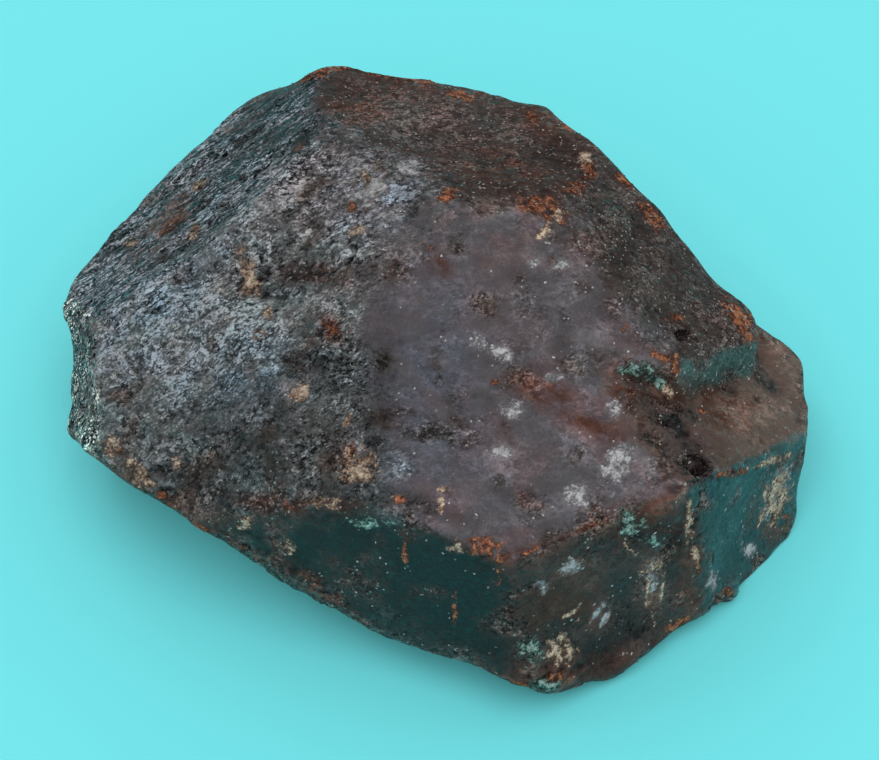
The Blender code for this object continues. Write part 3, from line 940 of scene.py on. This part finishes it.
pitted = sum(shares[face] * strength for face, strength in PITTED.items())
store(skin_mesh, "pitted", pitted * ground_fade)
use_tree(skin, pits, Where="pitted", Spacing=PIT_SPACING, Reach=0.26, Depth=PIT_DEPTH, Share=0.3)
for name, (rounds, depth) in HOLLOWS.items():
    use_tree(skin, hollows, Rounds=rounds, Name=name, Depth=depth)


def settle(obj):
    """Turns what the modifiers show into the object's own plain mesh."""
    bpy.context.view_layer.update()
    graph = bpy.context.evaluated_depsgraph_get()
    plain = bpy.data.meshes.new_from_object(obj.evaluated_get(graph))
    obj.modifiers.clear()
    obj.data = plain
    return plain


skin_mesh = settle(skin)
grown = read(skin_mesh.vertices, "co", 3)
grown[:, 2] = np.maximum(grown[:, 2], 0.0)
skin_mesh.vertices.foreach_set("co", grown.astype(np.float32).ravel())
skin_mesh.polygons.foreach_set("use_smooth", np.ones(len(skin_mesh.polygons), bool))
skin_mesh.update()
print("grown skin:", len(skin_mesh.polygons), "faces, box in mm",
      np.round((grown.max(axis=0) - grown.min(axis=0)) / MM, 2))

# %% [markdown]
# ## The weathered surface
# Almandine garnet, grown and then weathered: nearly black, with a glassy lustre where it is
# bare. Over it lies a thin satin film of mica and clay that takes another colour on each face.
# The material starts from the bare stone, lays the film over it in patches, and then adds each
# kind of stain, painted shade in hollows, shiny flecks that are partly painted glints, and a fine
# bump. Bare garnet has an index of refraction of 1.79. Most of this one is covered by the film,
# which breaks the reflection up, so the index used here is lower. Roughness is low on bare stone,
# higher on the film and highest on crusts.

# %% Garnet material: coordinates and patterns
GARNET_IOR = 1.47
BARE_ROUGHNESS = 0.24
CRUST_ROUGHNESS = 0.85

garnet = bpy.data.materials.new("weathered_almandine")
garnet.use_nodes = True
nodes = garnet.node_tree
shader = nodes.nodes["Principled BSDF"]
shader.inputs["IOR"].default_value = GARNET_IOR
where = add(nodes, "ShaderNodeTexCoord").outputs["Object"]


def laid_out(size_mm, line):
    """Object coordinates measured in grains: size_mm along the line and across it."""
    turn = turn_of(line) if line else (0, 0, 0)
    return add(nodes, "ShaderNodeMapping", vector_type="TEXTURE", inputs={
        "Vector": where, "Rotation": turn, "Scale": Vector(size_mm) * MM})


def grain(along_mm, across_mm=None, detail=3.0, roughness=0.6, distortion=0.0, line=None):
    """Noise with lumps of a real size, which may be longer along a line."""
    across_mm = across_mm or along_mm
    return add(nodes, "ShaderNodeTexNoise", {
        "Vector": laid_out((along_mm, across_mm, across_mm), line), "Scale": 1.0, "Detail": detail,
        "Roughness": roughness, "Distortion": distortion}).outputs["Fac"]


def flakes(along_mm, across_mm, line, wobble):
    """A mosaic of tiny crystal plates. Each one has a random colour, and a distance to its middle."""
    laid = laid_out((along_mm, across_mm, across_mm), line)
    stir = add(nodes, "ShaderNodeTexNoise", {"Vector": laid, "Scale": 0.8, "Detail": 2.0})
    bent = add(nodes, "ShaderNodeVectorMath", operation="MULTIPLY_ADD", inputs={
        0: stir.outputs["Color"], 1: (wobble, wobble, wobble), 2: laid})
    return add(nodes, "ShaderNodeTexVoronoi", {"Vector": bent, "Scale": 1.0})


def amount(name):
    """How much of something the skin holds at each point."""
    return add(nodes, "ShaderNodeAttribute", attribute_name=name, attribute_type="GEOMETRY").outputs["Fac"]


broad = grain(5.0, detail=3.0)
warm_field = grain(3.1, detail=5.0, distortion=0.6)
cool_field = grain(2.2, detail=5.0, distortion=0.4)
patchy = grain(1.5, detail=5.0, roughness=0.65, distortion=0.5)
speckle = grain(0.6, detail=4.0, roughness=0.7)
dust = grain(0.17, detail=2.0)
growth_fibre = grain(2.2, 0.24, detail=3.0, line=GROWTH_LINE)
lined_flakes = flakes(0.62, 0.20, GROWTH_LINE, 1.6)
even_flakes = flakes(0.36, 0.28, BACK_LINE, 1.2)
fine_flakes = flakes(0.16, 0.11, GROWTH_LINE, 0.8)
grainy, cover, flecks_and_glints, litter = amount("grain"), amount("cover"), amount("flecks_and_glints"), amount("litter")
hollow, broad_hollow = amount("hollow"), amount("broad_hollow")
# Lined and even grain take turns in patches, and a face's share of lines decides who has more.
lines = add(nodes, "ShaderNodeMath", {0: patchy, 1: amount("lines")}, operation="ADD")
lines = add(nodes, "ShaderNodeMapRange", {"Value": lines, "From Min": 0.92, "From Max": 1.08}).outputs[0]
print("garnet material starts with", len(nodes.nodes), "nodes")

# %% Garnet material: tone
# Tone counts in doublings of brightness: broad patches, then speckle, plates and dust, which
# are strong on coarse faces and weak on smooth ones. Hollows get painted shade, and crests a
# painted lift of light.
DARK_SIDE, BRIGHT_SIDE = 0.62, 1.15
DARKEST, BRIGHTEST = -2.4, 2.0
flake_hue = add(nodes, "ShaderNodeMix", {0: lines, 6: even_flakes.outputs["Color"],
                                         7: lined_flakes.outputs["Color"]}, data_type="RGBA").outputs[2]
flake_parts = add(nodes, "ShaderNodeSeparateColor", {0: flake_hue})
fine_parts = add(nodes, "ShaderNodeSeparateColor", {0: fine_flakes.outputs["Color"]})
fibre = add(nodes, "ShaderNodeMix", {0: lines, 2: speckle, 3: growth_fibre}, data_type="FLOAT")


def weighted(patterns):
    """Adds up patterns, each centred on zero and multiplied by its weight."""
    total = 0.0
    for pattern, weight in patterns:
        centred = add(nodes, "ShaderNodeMath", {0: pattern, 1: -0.5}, operation="ADD")
        total = add(nodes, "ShaderNodeMath", {0: centred, 1: weight, 2: total}, operation="MULTIPLY_ADD")
    return total


soft_tone = weighted([(broad, 1.0), (patchy, 1.8), (cool_field, 1.2)])
hard_tone = weighted([(fibre, 2.3), (flake_parts.outputs[0], 1.7), (fine_parts.outputs[0], 1.8), (dust, 1.6)])
# Some areas are rubbed smooth and others are left coarse, above all where the film is thick.
strength = add(nodes, "ShaderNodeMath", {0: grainy, 1: 0.62, 2: 0.10}, operation="MULTIPLY_ADD")
rubbed = add(nodes, "ShaderNodeMapRange", {"Value": cool_field, "From Min": 0.36, "From Max": 0.62,
                                           "To Min": 0.30, "To Max": 1.20})
rubbed = add(nodes, "ShaderNodeMath", {0: amount("thick"), 1: 0.35, 2: rubbed}, operation="MULTIPLY_ADD")
strength = add(nodes, "ShaderNodeMath", {0: strength, 1: rubbed}, operation="MULTIPLY")
fine_tone = add(nodes, "ShaderNodeMath", {0: hard_tone, 1: strength}, operation="MULTIPLY")
tone = add(nodes, "ShaderNodeMath", {0: soft_tone, 1: amount("blotchy"), 2: fine_tone},
           operation="MULTIPLY_ADD")
# hollow and broad_hollow are painted shade in hollows and painted light on crests; the rest is the film's own
# tone.
DOUBLINGS = {"hollow": -0.40, "broad_hollow": -0.16, "thin": -1.25, "thick": 0.75, "mica": 0.45,
             "bare": -1.0}
for part, doublings in DOUBLINGS.items():
    tone = add(nodes, "ShaderNodeMath", {0: amount(part), 1: doublings, 2: tone},
               operation="MULTIPLY_ADD")
# Bright grains stand out further than dark gaps sink, because dirt fills the gaps evenly.
darkened = add(nodes, "ShaderNodeMath", {0: tone, 1: DARK_SIDE}, operation="MULTIPLY")
lightened = add(nodes, "ShaderNodeMath", {0: tone, 1: BRIGHT_SIDE}, operation="MULTIPLY")
tone = add(nodes, "ShaderNodeMath", {0: darkened, 1: lightened}, operation="MAXIMUM")
tone = add(nodes, "ShaderNodeClamp", {"Value": tone, "Min": DARKEST, "Max": BRIGHTEST})
brightness = add(nodes, "ShaderNodeMath", {0: 2.0, 1: tone}, operation="POWER")
print("with tone it has", len(nodes.nodes), "nodes")

# %% Garnet material: film over bare stone
BARE_GARNET = "#150f11"
BROWN_FILM = "#412a22"
EARTHY_GLOSS = "#c9857c"
WARM_SHIFT = (1.28, 0.92, 0.88, 1)
COOL_SHIFT = (0.86, 1.00, 1.18, 1)
film = add(nodes, "ShaderNodeAttribute", attribute_name="film", attribute_type="GEOMETRY").outputs["Color"]


def tinted(under, kind, field, low, high, everywhere, colour, way):
    """Changes the film's colour where a listed stain and a noise field agree."""
    open_field = add(nodes, "ShaderNodeMapRange", interpolation_type="SMOOTHSTEP", inputs={
        "Value": field, "From Min": low, "From Max": high})
    share = add(nodes, "ShaderNodeMath", {0: amount(kind), 1: 1.0 - everywhere, 2: everywhere},
                operation="MULTIPLY_ADD")
    factor = add(nodes, "ShaderNodeMath", {0: open_field, 1: share}, operation="MULTIPLY")
    return add(nodes, "ShaderNodeMix", {0: factor, 6: under, 7: colour}, data_type="RGBA",
               blend_type=way).outputs[2]


coloured = tinted(film, "violet", warm_field, 0.40, 0.60, 0.45, WARM_SHIFT, "MULTIPLY")
coloured = tinted(coloured, "blue", cool_field, 0.36, 0.54, 0.12, COOL_SHIFT, "MULTIPLY")
coloured = tinted(coloured, "brown", patchy, 0.40, 0.56, 0.0, linear(BROWN_FILM), "MIX")
film_lit = add(nodes, "ShaderNodeVectorMath", {0: coloured, "Scale": brightness}, operation="SCALE")

# Bare stone shows where the tone is low and the face is thinly covered.
hidden = add(nodes, "ShaderNodeMath", {0: tone, 1: 0.30, 2: cover}, operation="MULTIPLY_ADD")
hidden = add(nodes, "ShaderNodeMath", {0: amount("bare"), 1: -0.35, 2: hidden}, operation="MULTIPLY_ADD")
hidden = add(nodes, "ShaderNodeMapRange", interpolation_type="SMOOTHSTEP", inputs={
    "Value": hidden, "From Min": 0.0, "From Max": 0.50})
stone = add(nodes, "ShaderNodeMix", {0: hidden, 6: linear(BARE_GARNET), 7: film_lit},
            data_type="RGBA").outputs[2]

# %% Garnet material: stains
# kind: (colours of the thin edge, the body and the dry crust, how thick it must lie before it
# shows, and its share of what lies about everywhere)
STAIN_LOOKS = {
    # These chlorite tints are partly painted reflection of the blue-green table.
    "chlorite_and_reflection": (("#1e2d2b", "#507069", "#9db7b1"), 0.58, 0.12),
    "mica": (("#5a5a5e", "#828287", "#b4b4b6"), 0.52, 0.30),
    "rust": (("#2e1c16", "#70422f", "#ae714e"), 0.58, 0.30),
    "clay": (("#4e3e34", "#9a816f", "#d2c1ad"), 0.58, 0.30),
}
EDGE_BEFORE, EDGE_AFTER = 0.14, 0.30
BODY_STOP, CRUST_STOP = 0.40, 0.95

ragged = weighted([(patchy, 1.7), (speckle, 1.7), (dust, 0.7)])
crust_shade = weighted([(speckle, 1.6), (flake_parts.outputs[1], 0.6), (fine_parts.outputs[1], 0.8)])
rusty_hollow = add(nodes, "ShaderNodeMapRange", inputs={
    "Value": broad_hollow, "From Min": 0.5, "From Max": 2.2, "To Min": 0.0, "To Max": 0.80})
rusty_hollow = add(nodes, "ShaderNodeMath", {0: rusty_hollow, 1: litter}, operation="MULTIPLY")
crusted = 0.0
for kind, (tints, needed, stray) in STAIN_LOOKS.items():
    laid = add(nodes, "ShaderNodeMath", {0: litter, 1: stray}, operation="MULTIPLY")
    laid = add(nodes, "ShaderNodeMath", {0: laid, 1: amount(kind)}, operation="MAXIMUM")
    if kind == "rust":
        laid = add(nodes, "ShaderNodeMath", {0: laid, 1: rusty_hollow}, operation="MAXIMUM")
    # Where little is laid, noise has little say, so a clean face stays clean.
    reach = add(nodes, "ShaderNodeMath", {0: laid, 1: 2.5, 2: 0.25}, operation="MULTIPLY_ADD")
    reach = add(nodes, "ShaderNodeClamp", {"Value": reach})
    thick = add(nodes, "ShaderNodeMath", {0: ragged, 1: reach, 2: laid}, operation="MULTIPLY_ADD")
    shown = add(nodes, "ShaderNodeMapRange", interpolation_type="SMOOTHSTEP", inputs={
        "Value": thick, "From Min": needed - EDGE_BEFORE, "From Max": needed + EDGE_AFTER})
    depth = add(nodes, "ShaderNodeMath", {0: thick, 1: -needed}, operation="ADD")
    depth = add(nodes, "ShaderNodeMath", {0: crust_shade, 1: 0.9, 2: depth}, operation="MULTIPLY_ADD")
    hue = add(nodes, "ShaderNodeValToRGB", {0: depth})
    hue.color_ramp.elements[1].position = CRUST_STOP
    hue.color_ramp.elements.new(BODY_STOP)
    for stop, tint in zip(hue.color_ramp.elements, tints):
        stop.color = linear(tint)
    stone = add(nodes, "ShaderNodeMix", {0: shown, 6: stone, 7: hue}, data_type="RGBA").outputs[2]
    crusted = add(nodes, "ShaderNodeMath", {0: crusted, 1: shown}, operation="MAXIMUM")
print("with film and stains it has", len(nodes.nodes), "nodes")

# %% Garnet material: flecks, roughness and fine bump
# Pale specks: clean mica, and painted glints.
FLECK_AND_GLINT_COLOUR = "#b4b4b2"
FLECK_AND_GLINT_ODDS = 0.12
FLECK_ROUGHNESS = 0.15
BUMP_DEPTH = 0.30 * MM

# Flecks are single plates of clean mica, picked at random where the film is flecked. Their pale
# colour is also a painted glint.
gathered = add(nodes, "ShaderNodeMapRange", {"Value": patchy, "From Min": 0.42, "From Max": 0.72})
odds = add(nodes, "ShaderNodeMath", {0: flecks_and_glints, 1: gathered}, operation="MULTIPLY")
odds = add(nodes, "ShaderNodeMath", {0: amount("mica"), 1: 0.5, 2: odds}, operation="MULTIPLY_ADD")
odds = add(nodes, "ShaderNodeMath", {0: odds, 1: FLECK_AND_GLINT_ODDS}, operation="MULTIPLY")
won = add(nodes, "ShaderNodeMath", {0: fine_parts.outputs[2], 1: odds}, operation="LESS_THAN")
fleck_and_glint = add(nodes, "ShaderNodeMapRange", {"Value": fine_parts.outputs[1], "To Min": 0.15, "To Max": 0.90})
fleck_and_glint = add(nodes, "ShaderNodeMath", {0: won, 1: fleck_and_glint}, operation="MULTIPLY")
stone = add(nodes, "ShaderNodeMix", {0: fleck_and_glint, 6: stone, 7: linear(FLECK_AND_GLINT_COLOUR)},
            data_type="RGBA").outputs[2]
nodes.links.new(stone, shader.inputs["Base Color"])

# Deep pits and the gaps between plates mirror little, because their own walls shade them.
open_sky = add(nodes, "ShaderNodeMath", {0: hollow, 1: -0.30, 2: fine_tone}, operation="MULTIPLY_ADD")
open_sky = add(nodes, "ShaderNodeMapRange", {"Value": open_sky, "From Min": -1.0, "From Max": 0.3,
                                             "To Min": 0.25, "To Max": 1.0})
# A thick, earthy film takes up most of the gloss and reddens the rest.
earthy = add(nodes, "ShaderNodeMapRange", {"Value": amount("matt"), "From Min": 0.55, "From Max": 0.85})
earthy = add(nodes, "ShaderNodeMath", {0: amount("brown"), 1: 0.8, 2: earthy}, operation="MULTIPLY_ADD")
earthy = add(nodes, "ShaderNodeClamp", {"Value": earthy})
gloss_hue = add(nodes, "ShaderNodeMix", {0: earthy, 6: (1, 1, 1, 1), 7: linear(EARTHY_GLOSS)},
                data_type="RGBA").outputs[2]
mirrored = add(nodes, "ShaderNodeVectorMath", {0: gloss_hue, "Scale": open_sky}, operation="SCALE")
nodes.links.new(mirrored.outputs[0], shader.inputs["Specular Tint"])
rough = add(nodes, "ShaderNodeMix", {0: hidden, 2: BARE_ROUGHNESS, 3: amount("matt")}, data_type="FLOAT")
rough = add(nodes, "ShaderNodeMix", {0: crusted, 2: rough, 3: CRUST_ROUGHNESS}, data_type="FLOAT")
# Every plate is polished a little differently, and about a third are smoother than the rest.
polish = add(nodes, "ShaderNodeMapRange", {"Value": flake_parts.outputs[2], "From Min": 0.0,
                                           "From Max": 0.35, "To Min": 0.35, "To Max": 1.0})
rough = add(nodes, "ShaderNodeMath", {0: rough, 1: polish}, operation="MULTIPLY")
rough = add(nodes, "ShaderNodeMix", {0: fleck_and_glint, 2: rough, 3: FLECK_ROUGHNESS}, data_type="FLOAT")
nodes.links.new(rough.outputs[0], shader.inputs["Roughness"])

bumps = weighted([(fibre, 1.2), (patchy, 0.8), (dust, 0.8), (flake_parts.outputs[0], 0.20),
                  (fine_parts.outputs[0], 0.12)])
coarse = add(nodes, "ShaderNodeMath", {0: grainy, 1: 0.50, 2: 0.12}, operation="MULTIPLY_ADD")
bump_height = add(nodes, "ShaderNodeMath", {0: bumps, 1: coarse}, operation="MULTIPLY")
fine_relief = add(nodes, "ShaderNodeBump", {"Height": bump_height, "Strength": 1.0, "Distance": BUMP_DEPTH})
# Each plate also tilts its own way, which is what makes the stone glitter.
lean = add(nodes, "ShaderNodeVectorMath", {0: flake_hue, 1: (0.5, 0.5, 0.5)}, operation="SUBTRACT")
fine_lean = add(nodes, "ShaderNodeVectorMath", {0: fine_flakes.outputs["Color"], 1: (0.5, 0.5, 0.5)},
                operation="SUBTRACT")
leans = add(nodes, "ShaderNodeVectorMath", {0: lean, 1: fine_lean}, operation="ADD")
lean_size = add(nodes, "ShaderNodeMath", {0: grainy, 1: 0.26, 2: 0.05}, operation="MULTIPLY_ADD")
leaning = add(nodes, "ShaderNodeVectorMath", {0: leans, "Scale": lean_size}, operation="SCALE")
tilted = add(nodes, "ShaderNodeVectorMath", {0: fine_relief, 1: leaning}, operation="ADD")
glitter = add(nodes, "ShaderNodeVectorMath", {0: tilted}, operation="NORMALIZE")
nodes.links.new(glitter.outputs[0], shader.inputs["Normal"])

skin_mesh.materials.clear()
skin_mesh.materials.append(garnet)
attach(skin, "root")
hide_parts("garnet_crystal")
print("garnet material:", len(nodes.nodes), "nodes")

# %% [markdown]
# ## Crumbs and plates
# Clay, rust and mica don't only colour the stone: they cling to it as crumbs and plates, all under
# a third of a millimetre across, which catch the light and cast tiny shadows. Points are thrown
# on the skin, thickly where a stain's attribute says so and thinly elsewhere. Each point gets a
# lump of twenty faces, turned and sized at random, half sunk in the skin and warped by noise.

# %% Crumb tree
crumb_tree, given = new_tree("clinging_crumbs", {
    "Where": "String", "Stray": "String", "Most": "Float", "Few": "Float", "Small": "Float",
    "Large": "Float", "Flatness": "Float", "Seed": "Int"})
laid = add(crumb_tree, "GeometryNodeInputNamedAttribute", {"Name": given["Where"]}, data_type="FLOAT")
loose = add(crumb_tree, "GeometryNodeInputNamedAttribute", {"Name": given["Stray"]}, data_type="FLOAT")
off_ground = add(crumb_tree, "GeometryNodeInputNamedAttribute", {"Name": "off_ground"}, data_type="FLOAT")
thick = add(crumb_tree, "ShaderNodeMath", {0: laid, 1: 2.0}, operation="POWER")
patches = add(crumb_tree, "ShaderNodeTexNoise", {"Scale": 1 / (0.6 * MM), "Detail": 2.0})
patches = add(crumb_tree, "ShaderNodeMapRange", {"Value": patches, "From Min": 0.47, "From Max": 0.58})
for factor in (patches, given["Most"]):
    thick = add(crumb_tree, "ShaderNodeMath", {0: thick, 1: factor}, operation="MULTIPLY")
thick = add(crumb_tree, "ShaderNodeMath", {0: loose, 1: given["Few"], 2: thick}, operation="MULTIPLY_ADD")
thick = add(crumb_tree, "ShaderNodeMath", {0: thick, 1: off_ground}, operation="MULTIPLY")
thrown = add(crumb_tree, "GeometryNodeDistributePointsOnFaces", {
    "Mesh": given["Geometry"], "Density": thick, "Seed": given["Seed"]})
chance = add(crumb_tree, "FunctionNodeRandomValue", {"Seed": given["Seed"]}, data_type="FLOAT")
chance = add(crumb_tree, "ShaderNodeMath", {0: chance.outputs["Value"], 1: 3.0}, operation="POWER")
size = add(crumb_tree, "ShaderNodeMapRange", {"Value": chance, "To Min": given["Small"],
                                              "To Max": given["Large"]})
narrow = add(crumb_tree, "ShaderNodeMath", {0: size, 1: 0.65}, operation="MULTIPLY")
flat = add(crumb_tree, "ShaderNodeMath", {0: size, 1: given["Flatness"]}, operation="MULTIPLY")
sides = add(crumb_tree, "ShaderNodeCombineXYZ", {0: size, 1: narrow, 2: flat})
spin = add(crumb_tree, "FunctionNodeRandomValue", data_type="FLOAT_VECTOR", inputs={
    0: (-0.6, -0.6, 0.0), 1: (0.6, 0.6, math.tau), "Seed": given["Seed"]})
spin = add(crumb_tree, "FunctionNodeEulerToRotation", {0: spin.outputs[0]})
turned = add(crumb_tree, "FunctionNodeRotateRotation", rotation_space="LOCAL", inputs={
    0: thrown.outputs["Rotation"], 1: spin})
lump = add(crumb_tree, "GeometryNodeMeshIcoSphere", {"Radius": 1.0, "Subdivisions": 1})
placed = add(crumb_tree, "GeometryNodeInstanceOnPoints", {
    "Points": thrown, "Instance": lump, "Rotation": turned, "Scale": sides})
real = add(crumb_tree, "GeometryNodeRealizeInstances", {"Geometry": placed})
warp = add(crumb_tree, "ShaderNodeTexNoise", {"Scale": 1 / (0.12 * MM), "Detail": 1.0})
warp = add(crumb_tree, "ShaderNodeVectorMath", {0: warp.outputs["Color"], 1: (0.5, 0.5, 0.5)},
           operation="SUBTRACT")
warp = add(crumb_tree, "ShaderNodeVectorMath", {0: warp, "Scale": 0.14 * MM}, operation="SCALE")
bent = add(crumb_tree, "GeometryNodeSetPosition", {"Geometry": real, "Offset": warp})
close_tree(crumb_tree, given, bent)
print("crumb tree:", len(crumb_tree.nodes), "nodes")


# %% Crumb materials and pieces
def crumb_material(name, dark, light, roughness):
    """A crumb's colour runs between two shades from one crumb to the next."""
    made = bpy.data.materials.new(name)
    made.use_nodes = True
    tree = made.node_tree
    spot = add(tree, "ShaderNodeTexCoord").outputs["Object"]
    shade = add(tree, "ShaderNodeTexNoise", {"Vector": spot, "Scale": 1 / (0.5 * MM), "Detail": 3.0})
    shade = add(tree, "ShaderNodeMapRange", {"Value": shade, "From Min": 0.30, "From Max": 0.68})
    mixed = add(tree, "ShaderNodeMix", {0: shade, 6: linear(dark), 7: linear(light)}, data_type="RGBA")
    grit = add(tree, "ShaderNodeTexNoise", {"Vector": spot, "Scale": 1 / (0.07 * MM), "Detail": 2.0})
    grit = add(tree, "ShaderNodeBump", {"Height": grit, "Distance": 0.02 * MM})
    look = tree.nodes["Principled BSDF"]
    look.inputs["Roughness"].default_value = roughness
    tree.links.new(mixed.outputs[2], look.inputs["Base Color"])
    tree.links.new(grit.outputs[0], look.inputs["Normal"])
    return made


# Dried clay is chalky and matt. Limonite, which is rust as a mineral, is earthy. Muscovite mica
# splits into thin bright plates with a pearly shine.
CRUMBS = {
    # piece: (attribute, stray attribute, per mm2 at most, stray per mm2, radii in mm, flatness,
    # and the material's name, dark and light colours and roughness)
    "clay_crumbs": ("clay", "litter", 12.0, 0.05, (0.03, 0.13), 0.50,
                    ("dried_clay", "#695045", "#b09a89", 0.9)),
    "rust_crumbs": ("rust", "litter", 9.0, 0.04, (0.04, 0.14), 0.45,
                    ("limonite", "#42281f", "#85543b", 0.85)),
    "mica_plates": ("mica", "flecks_and_glints", 3.0, 0.25, (0.03, 0.09), 0.20,
                    ("muscovite_mica", "#6f7074", "#b9babc", 0.35)),
}
PER_MM2 = 1 / MM ** 2
CRUMB_SEED = 11
FACES_PER_CRUMB = 20
store(skin_mesh, "off_ground", np.clip(grown[:, 2] / FADE_ABOVE_GROUND - 0.3, 0, 1))
for seed, (name, (kind, stray, most, few, radii, flatness, finish)) in enumerate(CRUMBS.items()):
    piece = bpy.data.objects.new("garnet_" + name, skin_mesh.copy())
    bpy.context.scene.collection.objects.link(piece)
    coat = crumb_material(*finish)
    use_tree(piece, crumb_tree, Where=kind, Stray=stray, Most=most * PER_MM2, Few=few * PER_MM2,
             Small=radii[0] * MM, Large=radii[1] * MM, Flatness=flatness, Seed=CRUMB_SEED + seed,
             Material=coat)
    crumb_mesh = settle(piece)
    crumb_mesh.materials.clear()
    crumb_mesh.materials.append(coat)
    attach(piece, "root")
    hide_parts("garnet_crystal")
    print(piece.name, "has", len(crumb_mesh.polygons) // FACES_PER_CRUMB, "crumbs")
